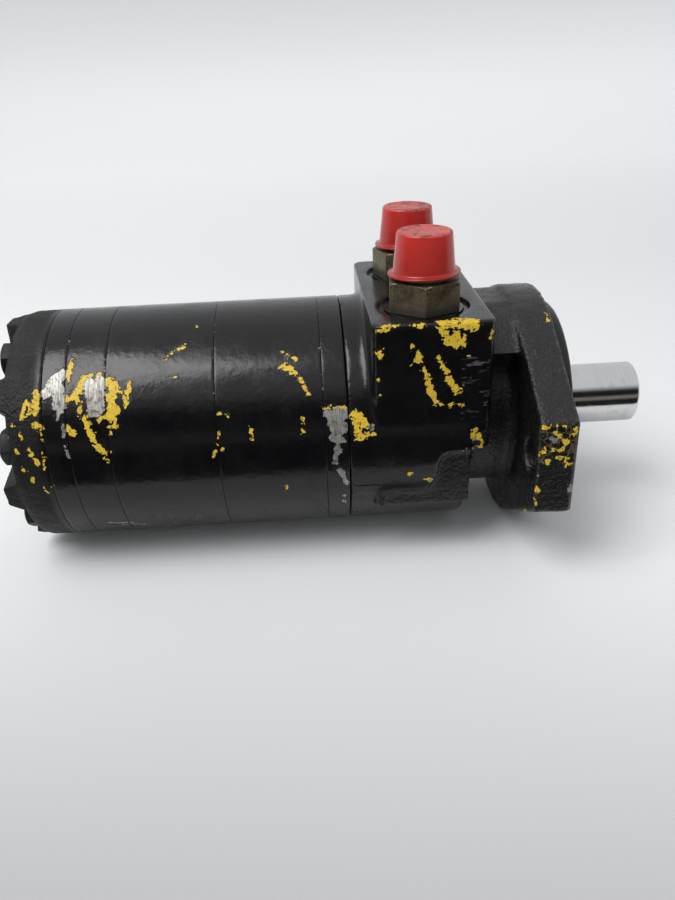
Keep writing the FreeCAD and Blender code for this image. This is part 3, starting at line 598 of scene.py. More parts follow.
class Shader(Nodes):
    """A material whose surface is one Principled shader."""

    SOCKETS = {
        "colour": "Base Color", "rough": "Roughness", "metal": "Metallic", "normal": "Normal", "ior": "IOR",
        "specular": "Specular IOR Level", "anisotropic": "Anisotropic", "subsurface": "Subsurface Weight",
        "subsurface_radius": "Subsurface Radius",
    }

    def __init__(self, name):
        self.material = bpy.data.materials.new(name)
        super().__init__(self.material, "Object")

    def finish(self, **sockets):
        surface = self.node("ShaderNodeBsdfPrincipled")
        for key, value in sockets.items():
            self.feed(surface.inputs[self.SOCKETS[key]], value)
        self.feed(self.node("ShaderNodeOutputMaterial").inputs[0], surface.outputs[0])
        return self.material


def chip_masks(s):
    """Where the yellow and the bare metal show, and a halo round both. A stroke's depth is torn by
    coarse flakes and then by a fine fray, and a few specks are added."""
    tear = s.noise(0.28 * PER_MM, detail=2, roughness=0.5, distortion=0.8)
    tear = s.sum("MULTIPLY_ADD", tear, 3.6, -1.8)
    flakes = s.noise(0.62 * PER_MM, detail=1, roughness=0.5, distortion=0.5)
    flakes = s.sum("MULTIPLY_ADD", flakes, 3.0, -1.5)
    fray = s.sum("MULTIPLY_ADD", s.noise(1.7 * PER_MM, detail=4, roughness=0.65), 1.3, -0.65)
    crack = s.sum("MULTIPLY_ADD", s.cells(0.62 * PER_MM, feature="DISTANCE_TO_EDGE"), 1.1, -0.35)
    edge = s.sum("ADD", s.sum("ADD", tear, flakes), s.sum("ADD", fray, crack))
    yellow = s.sum("ADD", s.attribute("yellow_depth"), edge)
    bare = s.sum("ADD", s.attribute("bare_depth"), s.sum("MULTIPLY", edge, 0.75))
    specks = s.ramp(s.noise(0.33 * PER_MM, detail=8, roughness=0.75), 0.72, 0.73)
    yellow_mask = s.sum("MAXIMUM", s.ramp(yellow, 0.0, 0.08), s.sum("MULTIPLY", specks, 0.7))
    halo = s.sum("MAXIMUM", s.ramp(yellow, -0.6, 0.0), s.ramp(bare, -0.6, 0.0))
    return yellow_mask, s.ramp(bare, 0.0, 0.08), halo


def worn_masks(s):
    """Cracks in the crackled paint, and flecks rubbed along the motor."""
    web = s.cells(0.33 * PER_MM, feature="DISTANCE_TO_EDGE")
    web = s.sum("MULTIPLY_ADD", s.noise(0.9 * PER_MM, detail=4, roughness=0.7), -0.5, web)
    web = s.sum("MULTIPLY_ADD", s.noise(0.12 * PER_MM, detail=2), -0.5, web)
    cracks = s.sum("MULTIPLY", s.ramp(web, -0.43, -0.48), s.attribute("crackle"))
    rub = s.noise(1.0 * PER_MM, detail=5, roughness=0.7, vector=s.stretched(0.16, 1.0, 0.75))
    rub = s.sum("ADD", rub, s.sum("MULTIPLY_ADD", s.noise(0.14 * PER_MM, detail=2), 0.5, -0.25))
    return cracks, s.sum("MULTIPLY", s.ramp(rub, 0.60, 0.66), s.attribute("scuffs"))


def black_colour(s, fine, cast, dull_and_shaded, cracks, scuffs):
    """Deep, with a warm film of dust in places, greyer on rough iron, and painted deepest as shade where it
    is dull, with grime in its cracks and grey scuffs."""
    broad = s.noise(0.16 * PER_MM, detail=3, roughness=0.5)
    black = s.blend(s.ramp(broad, 0.35, 0.7), (0.0034, 0.0033, 0.0042), (0.0052, 0.0050, 0.0058))
    dust = s.ramp(s.noise(0.05 * PER_MM, detail=6, roughness=0.7), 0.5, 0.78, 0.0, 0.4)
    black = s.blend(dust, black, (0.014, 0.013, 0.011))
    iron = s.sum("MULTIPLY", cast, s.ramp(fine, 0.35, 0.7, 0.2, 0.6))
    black = s.blend(iron, black, (0.013, 0.0125, 0.012))
    # Painted shade: the dull end cover is painted a deeper black, for the light it doesn't catch.
    black = s.blend(s.sum("MULTIPLY", dull_and_shaded, 0.85), black, (0.0022, 0.0021, 0.0024))
    black = s.blend(s.sum("MULTIPLY", scuffs, 0.85), black, (0.085, 0.085, 0.083))
    return s.blend(s.sum("MULTIPLY", cracks, 0.85), black, (0.10, 0.078, 0.02))


def yellow_colour(s, fine):
    colour = s.blend(s.ramp(fine, 0.35, 0.62), (0.46, 0.29, 0.009), (0.86, 0.61, 0.032))
    grime = s.ramp(s.noise(0.9 * PER_MM, detail=4, roughness=0.6), 0.54, 0.62, 0.0, 0.9)
    return s.blend(grime, colour, (0.13, 0.085, 0.02))


def bare_colour(s):
    """Iron with turning lines round the motor and brown stains."""
    lines = s.noise(1.0 * PER_MM, detail=3, vector=s.stretched(3.0, 0.25, 0.25))
    colour = s.blend(s.ramp(lines, 0.38, 0.62), (0.23, 0.22, 0.20), (0.48, 0.465, 0.43))
    stain = s.ramp(s.noise(0.6 * PER_MM, detail=5), 0.52, 0.66, 0.0, 0.75)
    return s.blend(stain, colour, (0.10, 0.08, 0.065))


def paint_roughness(s, fine, cast, dull_and_shaded, matt):
    smear = s.ramp(s.noise(0.09 * PER_MM, detail=5, roughness=0.65), 0.4, 0.72, 0.0, 0.14)
    gloss = s.sum("ADD", s.ramp(fine, 0.3, 0.7, 0.13, 0.21), smear)
    gloss = s.sum("ADD", gloss, s.sum("MULTIPLY", cast, 0.05))
    gloss = s.sum("ADD", gloss, s.sum("MULTIPLY", dull_and_shaded, 0.36))
    return s.sum("ADD", s.sum("MULTIPLY", gloss, s.sum("SUBTRACT", 1.0, matt)),
                 s.sum("MULTIPLY", matt, s.ramp(fine, 0.3, 0.7, 0.38, 0.6)))


def paint_relief(s, cast, chips, bare, halo, cracks, matt):
    """Orange peel and runs in the paint, sand texture of the casting, and the chips' steps."""
    peel = s.sum("MULTIPLY", s.noise(0.42 * PER_MM, detail=2, roughness=0.4), 0.55)
    strokes = s.noise(0.3 * PER_MM, detail=3, vector=s.stretched(0.35, 1.0, 1.0))
    runs = s.sum("ABSOLUTE", s.sum("SUBTRACT", s.noise(0.035 * PER_MM, detail=3, distortion=1.5), 0.5))
    runs = s.ramp(runs, 0.0, 0.012, 1.0, 0.0)
    waves = s.sum("ADD", s.sum("MULTIPLY_ADD", strokes, 0.4, peel), s.sum("MULTIPLY", runs, 0.1))
    normal = s.bump(waves, 0.17, 0.75)
    sand = s.sum("MULTIPLY", s.cells(0.95 * PER_MM, feature="SMOOTH_F1"), cast)
    grains = s.sum("MULTIPLY", s.noise(1.7 * PER_MM, detail=3, roughness=0.6), cast)
    normal = s.bump(s.sum("ADD", sand, s.sum("MULTIPLY", grains, 0.8)), 0.3, 0.95, normal)
    depth = s.sum("ADD", s.sum("MULTIPLY", chips, -1.0), s.sum("MULTIPLY", bare, -0.6))
    depth = s.sum("ADD", depth, s.sum("MULTIPLY", halo, 0.3))
    depth = s.sum("ADD", depth, s.sum("MULTIPLY", cracks, -0.6))
    normal = s.bump(depth, 0.17, 1.0, normal)
    return s.bump(s.sum("MULTIPLY", matt, s.noise(3.0 * PER_MM, detail=3)), 0.05, 0.6, normal)


def paint_material():
    """Gloss black over yellow over iron; the mesh says how rough the casting under it is."""
    s = Shader("black_paint")
    cast = s.attribute("cast")
    dull_and_shaded = s.attribute("dull_and_shaded")
    fine = s.noise(0.9 * PER_MM, detail=5, roughness=0.65)
    yellow, bare, halo = chip_masks(s)
    cracks, scuffs = worn_masks(s)
    chips = s.sum("MAXIMUM", yellow, bare)
    matt = s.sum("MAXIMUM", chips, s.sum("MAXIMUM", scuffs, cracks))
    colour = s.blend(yellow, black_colour(s, fine, cast, dull_and_shaded, cracks, scuffs), yellow_colour(s, fine))
    return s.finish(
        colour=s.blend(bare, colour, bare_colour(s)),
        rough=paint_roughness(s, fine, cast, dull_and_shaded, matt),
        metal=s.sum("MULTIPLY", bare, 0.6),
        normal=paint_relief(s, cast, chips, bare, halo, cracks, matt),
        ior=1.5,
        specular=0.42,
    )


def steel_material(name, bright, dark, rough, grain=0.02):
    """Ground or turned steel: fine lines round the axis, faint handling marks and a film of oil."""
    s = Shader(name)
    lines = s.noise(1.1 * PER_MM, detail=4, roughness=0.6, vector=s.stretched(6.0, 0.12, 0.12))
    smears = s.noise(0.12 * PER_MM, detail=5, roughness=0.6)
    colour = s.blend(s.ramp(lines, 0.35, 0.65), dark, bright)
    colour = s.blend(s.ramp(smears, 0.55, 0.8, 0.0, 0.5), colour, tuple(c * 0.55 for c in dark))
    roughness = s.ramp(lines, 0.3, 0.7, rough, rough * 1.4)
    roughness = s.sum("ADD", roughness, s.ramp(smears, 0.45, 0.75, 0, 0.08))
    return s.finish(colour=colour, rough=roughness, metal=1.0, anisotropic=0.4,
                    normal=s.bump(lines, grain, 0.5))


def bronze_material():
    s = Shader("bronze")
    pores = s.cells(2.2 * PER_MM)
    tone = s.noise(0.4 * PER_MM, detail=4)
    colour = s.blend(s.ramp(tone, 0.35, 0.65), (0.40, 0.25, 0.10), (0.62, 0.42, 0.20))
    return s.finish(colour=colour, rough=s.ramp(tone, 0.3, 0.7, 0.3, 0.45), metal=1.0,
                    normal=s.bump(pores, 0.03, 0.5))


def rubber_material():
    s = Shader("seal_rubber")
    grain = s.noise(2.5 * PER_MM, detail=4)
    tone = s.noise(0.3 * PER_MM, detail=4)
    colour = s.blend(s.ramp(tone, 0.35, 0.7), (0.008, 0.008, 0.008), (0.024, 0.022, 0.02))
    return s.finish(colour=colour, rough=s.ramp(grain, 0.3, 0.7, 0.5, 0.7), normal=s.bump(grain, 0.03, 0.5))


def chromate_material():
    """Old yellow-olive chromate: grey wear on edges, brown oil stains and machining lines, and darker
    towards its foot.
    """
    s = Shader("plated_steel")
    tone = s.noise(0.22 * PER_MM, detail=5, roughness=0.65)
    speckle = s.noise(1.6 * PER_MM, detail=5, roughness=0.7)
    lines = s.noise(1.0 * PER_MM, detail=3, vector=s.stretched(1.0, 1.0, 0.08))
    colour = s.blend(s.ramp(tone, 0.35, 0.65), (0.075, 0.058, 0.030), (0.20, 0.165, 0.092))
    colour = s.blend(s.ramp(lines, 0.45, 0.75, 0.0, 0.5), colour, (0.27, 0.24, 0.16))
    colour = s.blend(s.ramp(speckle, 0.46, 0.62, 0.0, 0.9), colour, (0.022, 0.016, 0.009))
    _, _, height = s.axes()
    # Darker towards the hexagon's foot on the block, and in patches.
    darker_at_foot_and_patches = s.sum("ADD", s.ramp(height, (BLOCK_TOP + 3.5) * MM, (BLOCK_TOP - 0.2) * MM),
                  s.sum("MULTIPLY_ADD", tone, 1.2, -0.75))
    colour = s.blend(s.ramp(darker_at_foot_and_patches, 0.1, 0.8, 0.0, 0.9), colour, (0.022, 0.018, 0.012))
    worn = s.node("ShaderNodeNewGeometry").outputs["Pointiness"]
    colour = s.blend(s.ramp(worn, 0.53, 0.6, 0.0, 0.7), colour, (0.5, 0.45, 0.34))
    rough = s.sum("ADD", s.ramp(tone, 0.3, 0.7, 0.34, 0.5), s.ramp(speckle, 0.45, 0.7, 0.0, 0.2))
    relief = s.sum("ADD", lines, s.sum("MULTIPLY", speckle, 0.6))
    return s.finish(colour=colour, rough=rough, metal=0.75, normal=s.bump(relief, 0.06, 0.6))


def cap_material():
    """Soft red plastic that lets a little light through, with painted light on its upper part, chalky and
    dark with scuffs on the crown.
    """
    s = Shader("red_plastic")
    tone = s.noise(0.11 * PER_MM, detail=4)
    _, _, height = s.axes()
    low, high = (edge * MM for edge in span("thread_cap_a", 2))
    crown = s.ramp(height, high - 0.9 * MM, high - 0.4 * MM)
    # Painted light: the wall is painted lighter towards the top, and the crown lighter again, for the light
    # that falls on the cap's upper part.
    colour = s.blend(s.ramp(height, low, high - 2 * MM), (0.27, 0.012, 0.009), (0.44, 0.020, 0.014))
    colour = s.blend(s.ramp(tone, 0.3, 0.7, 0.0, 0.35), colour, (0.50, 0.03, 0.02))
    colour = s.blend(crown, colour, (0.50, 0.07, 0.055))
    scuffs = s.noise(0.30 * PER_MM, detail=6, roughness=0.6, distortion=1.2)
    marks = s.sum("MULTIPLY", s.ramp(scuffs, 0.51, 0.56), crown)
    colour = s.blend(s.sum("MULTIPLY", marks, 0.85), colour, (0.10, 0.014, 0.014))
    chalk = s.ramp(s.noise(0.5 * PER_MM, detail=6, roughness=0.7), 0.56, 0.70, 0.0, 0.25)
    colour = s.blend(s.sum("MULTIPLY", chalk, s.ramp(crown, 0, 1, 0.2, 1.3)), colour, (0.62, 0.22, 0.18))
    rough = s.sum("ADD", s.ramp(tone, 0.3, 0.7, 0.17, 0.26), s.sum("MULTIPLY", crown, 0.2))
    fine = s.noise(0.8 * PER_MM, detail=4)
    scratches = s.noise(0.9 * PER_MM, detail=4, vector=s.stretched(0.3, 1.0, 2.0))
    normal = s.bump(s.sum("ADD", fine, scratches), 0.035, 0.5)
    return s.finish(colour=colour, rough=rough, normal=normal, subsurface=0.12,
                    subsurface_radius=(0.004, 0.0008, 0.0006), ior=1.49)


def floor_material():
    """Pale paper with painted shade and light: dimmer just in front of the motor and lighter far away."""
    s = Shader("paper_floor")
    tone = s.noise(3.0, detail=4)
    across, along, _ = s.axes()
    # Painted shade and light: the paper is painted darker in front of the motor and towards the left, and
    # lighter far behind and far in front, as the lamps' light falls off.
    near = s.sum("MULTIPLY_ADD", s.sum("ADD", across, 0.1), 0.2, along)
    light = s.sum("ADD", s.ramp(near, -0.2, -0.03, 0.02, 0.67), s.ramp(along, 0.4, 1.1, 0.0, 0.35))
    light = s.sum("ADD", light, s.ramp(along, -0.7, -0.4, 0.75, 0.0))
    light = s.sum("ADD", light, s.sum("MULTIPLY", tone, 0.03))
    colour = s.blend(light, (0.40, 0.40, 0.405), (0.96, 0.965, 0.97))
    return s.finish(colour=colour, rough=s.ramp(tone, 0.3, 0.7, 0.55, 0.65), specular=0.25)


PAINT = paint_material()
GROUND_STEEL = steel_material("ground_steel", (0.72, 0.72, 0.72), (0.64, 0.64, 0.645), 0.11, 0.005)
STEEL = steel_material("turned_steel", (0.56, 0.56, 0.57), (0.36, 0.36, 0.37), 0.24)
BRONZE = bronze_material()
RUBBER = rubber_material()
CHROMATE = chromate_material()
RED = cap_material()


def dress(piece, material):
    piece.data.materials.clear()
    piece.data.materials.append(material)


# ---- Castings: a remeshed copy of the CAD solid, with softened edges and a cast surface

# The waves of a cast surface: how fine each is, per mm, and its share of the swell
CAST_WAVES = ((0.09, 0.55), (0.3, 0.3), (0.8, 0.15))


def casting(name, node, voxel, rounds, swell, cast):
    """The swell is the height of the waves in mm. cast(point in mm) is 0 on machined faces and up
    to 1 on rough-cast ones."""
    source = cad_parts[node]
    piece = add_object(name, source.data.copy())
    remesh = piece.modifiers.new("remesh", "REMESH")
    remesh.mode = "VOXEL"
    remesh.voxel_size = voxel * MM
    remesh.adaptivity = 0.0
    apply_modifiers(piece)
    soften = piece.modifiers.new("soften", "SMOOTH")
    soften.factor = 0.5
    soften.iterations = rounds
    apply_modifiers(piece)
    mesh = piece.data
    points = vertex_points(mesh)
    normals = np.zeros(len(points) * 3)
    mesh.vertex_normals.foreach_get("vector", normals)
    shifts = np.zeros(len(points))
    for i, point in enumerate(points):
        amount = cast(point)
        if amount > 0:
            spot = Vector(point)
            shifts[i] = swell * amount * sum(noise.noise(spot * fine) * share for fine, share in CAST_WAVES)
    points = (points + normals.reshape(-1, 3) * shifts[:, None]) * MM
    mesh.vertices.foreach_set("co", points.ravel())
    mesh.update()
    mesh.shade_smooth()
    return piece


# Reach of the bored faces and of the block's overhang, and how rough the block is
BORED_OUT = 24.5
OVERHANG_R = 46
FETTLED = 0.08


def housing_cast(spot):
    """1 on the rough flange, neck and side steps, 0 on machined faces, little on the block."""
    x, y, z = spot
    out = math.hypot(y, z)
    if x > -1.0 or out < BORED_OUT or z > BLOCK_TOP - 0.8:
        return 0.0
    if x > NECK_END - 0.3:
        on_overhang = x < BLOCK_FRONT + 0.4 and z > -1 and out > OVERHANG_R
        return FETTLED if on_overhang else 1.0
    in_step = BLOCK_SIDE - 1.9 < abs(y) < BLOCK_SIDE - 0.3 and z < 1.0
    return 1.0 if in_step else FETTLED


def cover_cast(spot):
    """The end cover is cast all over, but for the band beside its joint."""
    return min(1.0, max(0.0, (COVER_FRONT - 1 - spot[0]) / 4))


def keep_inside(piece, node):
    """Moves points that the cast waves pushed out of the CAD node's box back onto it."""
    low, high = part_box(node)
    mesh = piece.data
    points = np.clip(vertex_points(mesh) * MM, np.array(low), np.array(high))
    mesh.vertices.foreach_set("co", points.ravel())
    mesh.update()


def spot_face(letter):
    """The cutter for the round face under an adapter, which is deeper in a ring round it."""
    seat, ring, above = BLOCK_TOP - 0.7, BLOCK_TOP - 1.5, BLOCK_TOP + 3
    return lathe("spot_face", [
        (seat, 0), (seat, 14.7), (ring, 15), (ring, SPOT_FACE), (above, SPOT_FACE), (above, 0),
    ], 160, "Z", port_centre(letter))


def housing():
    piece = casting("housing_casting", "housing", 0.9, 6, 0.5, housing_cast)
    keep_inside(piece, "housing")
    for letter in CAPS:
        boolean(piece, spot_face(letter), "DIFFERENCE")
    smooth_by_angle(piece, 50)
    paint_wear(piece, housing_cast)
    dress(piece, PAINT)
    place(piece, "root", "housing")


def end_cover():
    piece = casting("end_cover_casting", "end_cover", 0.55, 2, 0.5, cover_cast)
    keep_inside(piece, "end_cover")
    paint_wear(piece, cover_cast)
    dress(piece, PAINT)
    place(piece, "root", "end_cover")


housing()
end_cover()

# ---- Turned plates of the stack, with paint-rounded edges and their bolt holes

PLATE_STEP = 0.8
PLATE_SEGMENTS = 360
PLATE_EDGE = 0.35


def around(offset, start, number):
    """The centre of one of seven places on a circle round the motor's axis."""
    angle = math.radians(start + 360 * number / BOLTS)
    return (0, offset * math.cos(angle), offset * math.sin(angle))


def plate(node, bore, pockets=False):
    rear, front = span(node, 0)
    curve = [(math.sin(a) * PLATE_EDGE, math.cos(a) * PLATE_EDGE) for a in np.linspace(0, math.pi / 2, 4)]
    profile = [(front, bore)]
    profile += [(front - PLATE_EDGE + s, BODY_R - PLATE_EDGE + c) for s, c in reversed(curve)]
    profile += [(rear + PLATE_EDGE - s, BODY_R - PLATE_EDGE + c) for s, c in curve]
    profile += [(rear, bore)]
    piece = lathe(node + "_turned", dense_profile(profile, PLATE_STEP), PLATE_SEGMENTS)
    holes = [(BOLT_HOLE, BOLT_CIRCLE, -90)]
    if pockets:
        holes.append((POCKET_R, POCKET_CIRCLE, 90))
    start, end = rear - 1, front + 1
    tools = []
    for i in range(BOLTS):
        for radius, offset, first in holes:
            outline = [(start, 0), (start, radius), (end, radius), (end, 0)]
            tools.append(lathe("tool", outline, 40, centre=around(offset, first, i)))
    boolean(piece, joined("tools", tools), "DIFFERENCE")
    smooth_by_angle(piece, 40)
    paint_wear(piece)
    dress(piece, PAINT)
    place(piece, "root", node)


plate("wear_plate", 12.0)
plate("stator_front", 26.75, pockets=True)
plate("stator_rear", 26.75, pockets=True)
plate("manifold", 12.0)
plate("commutator_ring", 25.7)

# ---- Hexagons with turned bevels, for the bolts and the adapters

HEX_EDGE_ANGLE = 25


def hexagon(name, flats, low, high, axis, centre, turn, bevel=0.6):
    """A hexagonal prism whose corners at the high end are turned off at 30 degrees. The bevel says
    how far its circle lies inside the flats, in mm."""
    corner = flats / 2 / math.cos(math.pi / 6)
    sides = []
    for end in (low, high):
        for i in range(6):
            angle = turn + math.pi / 3 * i
            sides.append(turn_point(axis, centre, end, corner, angle))
    faces = [[i, (i + 1) % 6, 6 + (i + 1) % 6, 6 + i] for i in range(6)]
    faces += [list(range(5, -1, -1)), list(range(6, 12))]
    prism = mesh_piece(name, sides, faces)
    face_outwards(prism)
    outer = corner + 1
    drop = (outer - flats / 2 + bevel) * math.tan(math.radians(30))
    way = 1 if high > low else -1
    profile = [(low - way, 0), (low - way, outer)]
    profile += [(high - way * drop, outer), (high, flats / 2 - bevel), (high, 0)]
    cone = lathe("cone", profile, 96, axis, centre)
    boolean(prism, cone, "INTERSECT")
    return prism


def cover_bolts():
    under_head = BOLT_SEAT - WASHER
    bore = BOLT_HOLE + 0.1
    bolts = []
    for i in range(BOLTS):
        centre = around(BOLT_CIRCLE, -90, i)
        head = hexagon("head", BOLT_FLATS, under_head, BOLT_SEAT - BOLT_HEAD, "X", centre, 0.4 * i)
        add_bevel(head, 0.25, HEX_EDGE_ANGLE)
        apply_modifiers(head)
        washer = lathe("washer", [
            (BOLT_SEAT, bore), (BOLT_SEAT, WASHER_R), (under_head, WASHER_R), (under_head, bore),
        ], 48, centre=centre)
        shank = lathe("shank", [
            (under_head, 0), (under_head, BOLT_SHANK), (BOLT_FRONT - 0.8, BOLT_SHANK),
            (BOLT_FRONT, BOLT_SHANK - 0.77), (BOLT_FRONT, 0),
        ], 40, centre=centre)
        bolts += [head, washer, shank]
    piece = smooth_by_angle(joined("cover_bolt_set", bolts), 35)
    divide = piece.modifiers.new("divide", "SUBSURF")
    divide.subdivision_type = "SIMPLE"
    divide.levels = 1
    apply_modifiers(piece)
    paint_wear(piece)
    dress(piece, PAINT)
    place(piece, "root", "cover_bolts")


cover_bolts()

THREAD_DEPTH = 0.9
THREAD_SEGMENTS = 56


def thread(name, radius, low, high, pitch, centre):
    """A closed rod with a helical thread cut in it, along Z, which fades out at both ends."""
    segments = THREAD_SEGMENTS
    column = int((high - low) / pitch * 8) + 1
    verts = []
    faces = []
    for i in range(segments):
        angle = 2 * math.pi * i / segments
        for k in range(column):
            z = low + (high - low) * k / (column - 1)
            phase = ((z - low) / pitch - i / segments) % 1.0
            notch = abs(phase - 0.5) * 2
            fade = min(1.0, (z - low) / pitch, (high - z) / pitch)
            r = radius - THREAD_DEPTH * (1 - notch) * max(0.0, fade)
            verts.append((centre[0] + r * math.cos(angle), centre[1] + r * math.sin(angle), z))
    for i in range(segments):
        j = (i + 1) % segments
        for k in range(column - 1):
            faces.append([i * column + k, j * column + k, j * column + k + 1, i * column + k + 1])
    faces.append([i * column for i in range(segments)][::-1])
    faces.append([i * column + column - 1 for i in range(segments)])
    piece = mesh_piece(name, verts, faces)
    face_outwards(piece)
    return piece


def adapter(letter):
    """Hexagon, threaded end with its cone nose, and the plug that screws into the block."""
    centre = port_centre(letter)
    seat = BLOCK_TOP - 0.6
    thread_start, thread_end = HEX_TOP + 2.2, STEM_TOP - 3.6
    turn = math.radians(HEX_TURN[letter])
    hexagonal = hexagon("hexagon", HEX_FLATS, seat, HEX_TOP, "Z", centre, turn, bevel=-0.7)
    add_bevel(hexagonal, 0.22, HEX_EDGE_ANGLE)
    apply_modifiers(hexagonal)
    relief = lathe("relief", [
        (HEX_TOP - 0.4, 5), (HEX_TOP - 0.4, 8.8), (thread_start, 8.8), (thread_start, 5),
    ], 96, "Z", centre)
    rod = thread("rod", STEM_R, thread_start, thread_end, STEM_PITCH, centre)
    nose = lathe("nose", [
        (thread_end, 0), (thread_end, 8.9), (STEM_TOP, 6.9), (STEM_TOP, 5.2), (STEM_TOP - 1.0, 4.8),
        (STEM_TOP - 1.0, 0),
    ], 96, "Z", centre)
    plug = thread("plug", PLUG_R, seat - 15, seat - 4, PLUG_PITCH, centre)
    neck = lathe("neck", [
        (seat - 4, 0), (seat - 4, 9.9), (seat + 0.2, 9.9), (seat + 0.2, 0),
    ], 96, "Z", centre)
    piece = joined("port_adapter_" + letter, [hexagonal, relief, rod, nose, plug, neck])
    smooth_by_angle(piece, 32)
    dress(piece, CHROMATE)
    place(piece, "root", "port_fitting_" + letter)


adapter("a")
adapter("b")


# Thread caps: half the rim's thickness and its radius, the wall's radius, taper and start, and
# the radius and the place of the crown's rounding
CAP_LIP = 0.45
CAP_RIM_R = 12.95
CAP_WALL_R = 11.45
CAP_TAPER = 1.25
CAP_FLARE = 1.8
CAP_ROUND = 1.1
CAP_ROUND_R = 9.1


def arc(start, end, count):
    """The sine and cosine of evenly spaced angles in degrees."""
    return [(math.sin(math.radians(a)), math.cos(math.radians(a))) for a in np.linspace(start, end, count)]


def thread_cap(letter):
    """A moulded cup with a thin flared rim, a tapered wall and a dished crown."""
    centre = port_centre(letter)
    foot, top = span("thread_cap_" + letter, 2)
    rise = top - foot - CAP_FLARE - CAP_ROUND
    profile = [(foot, 10.6)]
    profile += [(foot + CAP_LIP + CAP_LIP * s, CAP_RIM_R + CAP_LIP * c) for s, c in arc(-90, 90, 7)]
    profile += [(foot + 1.0, 12.2), (foot + 1.25, 11.7), (foot + CAP_FLARE, CAP_WALL_R)]
    profile += [(foot + CAP_FLARE + rise * t, CAP_WALL_R - CAP_TAPER * t) for t in np.linspace(0.08, 1, 14)]
    profile += [(top - CAP_ROUND + CAP_ROUND * s, CAP_ROUND_R + CAP_ROUND * c) for s, c in arc(0, 90, 6)]
    profile += [(top - 0.05, 8.4), (top - 0.35, 7.6), (top - 0.45, 5.0), (top - 0.5, 2.4), (top - 0.5, 0)]
    profile += [(top - 1.3, 0), (top - 1.3, 8.6), (top - 4.2, 9.75), (foot + 0.6, 9.8), (foot, 10.1)]
    piece = lathe("thread_cap_" + letter + "_moulded", profile, 128, "Z", centre)
    warp_rim(piece, centre, foot)
    smooth_by_angle(piece, 45)
    dress(piece, RED)
    place(piece, "cap_" + letter, "thread_cap_" + letter)


def warp_rim(piece, centre, foot):
    """Lifts the rim at one side and makes it a little out of round, as soft plastic is."""
    for vertex in piece.data.vertices:
        spot = vertex.co / MM
        reach = Vector((spot.x - centre[0], spot.y - centre[1], 0))
        angle = math.atan2(reach.y, reach.x)
        low_part = max(0.0, 1 - (spot.z - foot) / 5)
        squeeze = 0.06 * math.sin(2 * angle + 0.8) + 0.04 * math.sin(5 * angle)
        if 10.8 < reach.length < 13.2:
            vertex.co += reach.normalized() * squeeze * MM
        lift = 0.45 * (1 + math.cos(angle + 0.3)) + 0.08 * (1 + math.sin(3 * angle))
        vertex.co.z += lift * low_part * MM
    piece.data.update()


thread_cap("a")
thread_cap("b")

# ---- Shaft


def output_shaft():
    """Turned shape with a rounded end and a centre hole, open behind for the link, and a keyway."""
    rounding = [(SHAFT_END - SHAFT_ROUND + SHAFT_ROUND * t, SHAFT_R - SHAFT_ROUND * t * t)
                for t in np.linspace(0, 1, 5)]
    profile = [(DRUM_FRONT, JOURNAL_R), (PILOT_FACE - 0.3, JOURNAL_R), (PILOT_FACE, SHAFT_R),
               (SHAFT_END - 3, SHAFT_R)]
    profile += rounding
    profile += [(SHAFT_END, 2.6), (SHAFT_END - 4.4, 0)]
    profile += [(-47, 0), (-50, LINK_BORE), (SHAFT_REAR, LINK_BORE), (SHAFT_REAR, DRUM_R - 1),
                (SHAFT_REAR + 1, DRUM_R), (DRUM_FRONT, DRUM_R)]
    piece = lathe("output_shaft_ground", profile, 160)
    slot = mesh_piece("slot", [
        (x, y, z) for x in (SHAFT_END - KEYWAY_LENGTH, SHAFT_END + 1)
        for y in (-KEYWAY_HALF, KEYWAY_HALF) for z in (-14, KEYWAY_FLOOR)
    ], [[0, 1, 3, 2], [4, 6, 7, 5], [0, 4, 5, 1], [2, 3, 7, 6], [0, 2, 6, 4], [1, 5, 7, 3]])
    face_outwards(slot)
    boolean(piece, slot, "DIFFERENCE")
    smooth_by_angle(piece, 30)
    dress(piece, GROUND_STEEL)
    place(piece, "shaft", "output_shaft")


output_shaft()

# ---- Inner pieces keep their CAD shapes, with their edges broken

KEPT = [
    (STEEL, ["drive_link", "rotor", "commutator", "seal_backup_ring", "thrust_washer"]),
    (STEEL, ["roller_%d" % number for number in range(1, 8)]),
    (BRONZE, ["front_bushing", "rear_bushing"]),
    (RUBBER, ["dust_seal", "shaft_seal", "commutator_seal", "fitting_seal_a", "fitting_seal_b"]),
    (RUBBER, ["body_seal_%d" % number for number in range(1, 7)]),
]
for material, names in KEPT:
    for name in names:
        dress(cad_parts[name], material)
        add_bevel(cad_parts[name], 0.2, 40)

# ---- Stage: a pale sheet that rises gently all round, light from above and behind, a dim room in front

# The stage is in metres. The part of the sheet on the camera's side of this line isn't mirrored in
# the motor, which leaves the lower half of the barrel dark, as in a dim room.
SHEET_FRONT = -0.095
SHEET_HALF = 5
LEVEL_RADIUS = 0.7


def sheet(name, rows, reflects):
    """Part of the floor, as a strip of rows along X; the parts meet edge to edge."""
    columns = np.linspace(-SHEET_HALF, SHEET_HALF, 101)
    verts = []
    for y in rows:
        rise = 0.05 + 0.12 * min(max(-y, 0.0), 1.0)
        for x in columns:
            far = max(0.0, math.hypot(x, y) - LEVEL_RADIUS)
            verts.append((x / MM, y / MM, rise * far * far / MM + FLOOR))
    wide = len(columns)
    faces = []
    for j in range(len(rows) - 1):
        for i in range(wide - 1):
            corner = j * wide + i
            faces.append([corner, corner + 1, corner + wide + 1, corner + wide])
    piece = mesh_piece(name, verts, faces)
    piece.visible_glossy = reflects
    return piece


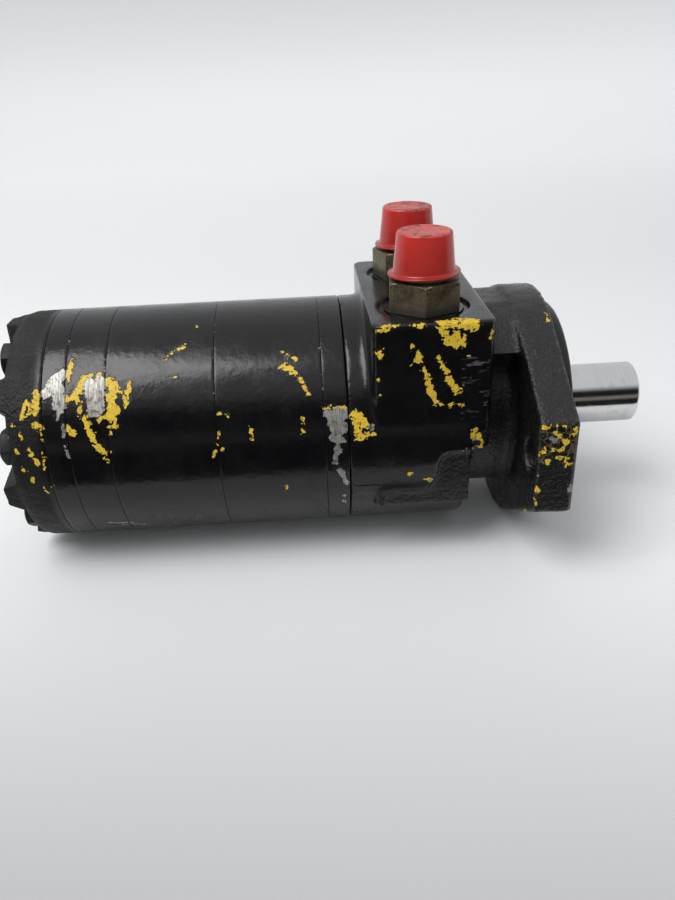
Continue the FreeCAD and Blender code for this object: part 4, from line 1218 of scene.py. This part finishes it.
def area(name, place_at, target, size, power):
    """A rectangular lamp that faces a target."""
    light = bpy.data.lights.new(name, "AREA")
    light.shape = "RECTANGLE"
    light.size, light.size_y = size
    light.energy = power
    lamp = add_object(name, light)
    lamp.location = place_at
    lamp.rotation_mode = "QUATERNION"
    lamp.rotation_quaternion = (Vector(target) - Vector(place_at)).to_track_quat("-Z", "Y")


def world_light():
    """Even pale light from above and behind, a dim room low on the camera's side, and a faint
    warm band at the height of the horizon."""
    world = bpy.data.worlds.new("room")
    bpy.context.scene.world = world
    s = Nodes(world, "Generated")
    _, back, up = s.axes()
    sky = s.ramp(s.sum("MULTIPLY_ADD", back, 0.65, up), -0.1, 0.25, 0.012, 0.72)
    band = s.sum("MULTIPLY", s.ramp(up, -0.13, -0.05, 0.0, 0.2), s.ramp(up, 0.08, 0.16, 1.0, 0.0))
    both = s.node("ShaderNodeAddShader")
    for slot, strength, colour in ((0, sky, (0.97, 0.985, 1.0, 1)), (1, band, (1.0, 0.93, 0.80, 1))):
        glow = s.node("ShaderNodeBackground")
        s.feed(glow.inputs["Color"], colour)
        s.feed(glow.inputs["Strength"], strength)
        s.feed(both.inputs[slot], glow.outputs[0])
    s.feed(s.node("ShaderNodeOutputWorld").inputs[0], both.outputs[0])


def camera():
    """The viewpoint: to the left of the port block, looking down along the motor. The angles are
    in radians."""
    eye_at = Vector((-94.64, -306.39, 140.47)) * MM
    yaw, pitch, roll = 0.0368, 0.4846, 0.0406
    ahead = Vector((math.sin(yaw) * math.cos(pitch), math.cos(yaw) * math.cos(pitch), -math.sin(pitch)))
    right = Vector((math.cos(yaw), -math.sin(yaw), 0))
    down = ahead.cross(right)
    across = right * math.cos(roll) + down * math.sin(roll)
    below = down * math.cos(roll) - right * math.sin(roll)
    data = bpy.data.cameras.new("camera")
    data.sensor_width = 36
    data.lens = 31.34
    data.clip_start, data.clip_end = 0.01, 20
    eye = add_object("camera", data)
    turn = Matrix((across, -below, -ahead)).transposed().to_4x4()
    eye.matrix_world = Matrix.Translation(eye_at) @ turn
    bpy.context.scene.camera = eye


PAPER = floor_material()
BACK_ROWS = np.concatenate([[SHEET_FRONT], np.linspace(0, SHEET_HALF, 51)])
FRONT_ROWS = np.concatenate([np.linspace(-SHEET_HALF, -0.2, 49), [SHEET_FRONT]])
dress(sheet("floor_sheet", BACK_ROWS, True), PAPER)
dress(sheet("floor_apron", FRONT_ROWS, False), PAPER)
world_light()
area("softbox", (-0.62, -0.36, 1.0), (-0.12, 0, 0), (0.7, 0.8), 10.5)
area("backdrop_wash", (0, 1.6, 1.1), (0, 2.4, 0), (2.5, 0.8), 4)
camera()
bpy.context.scene.view_settings.view_transform = "Standard"
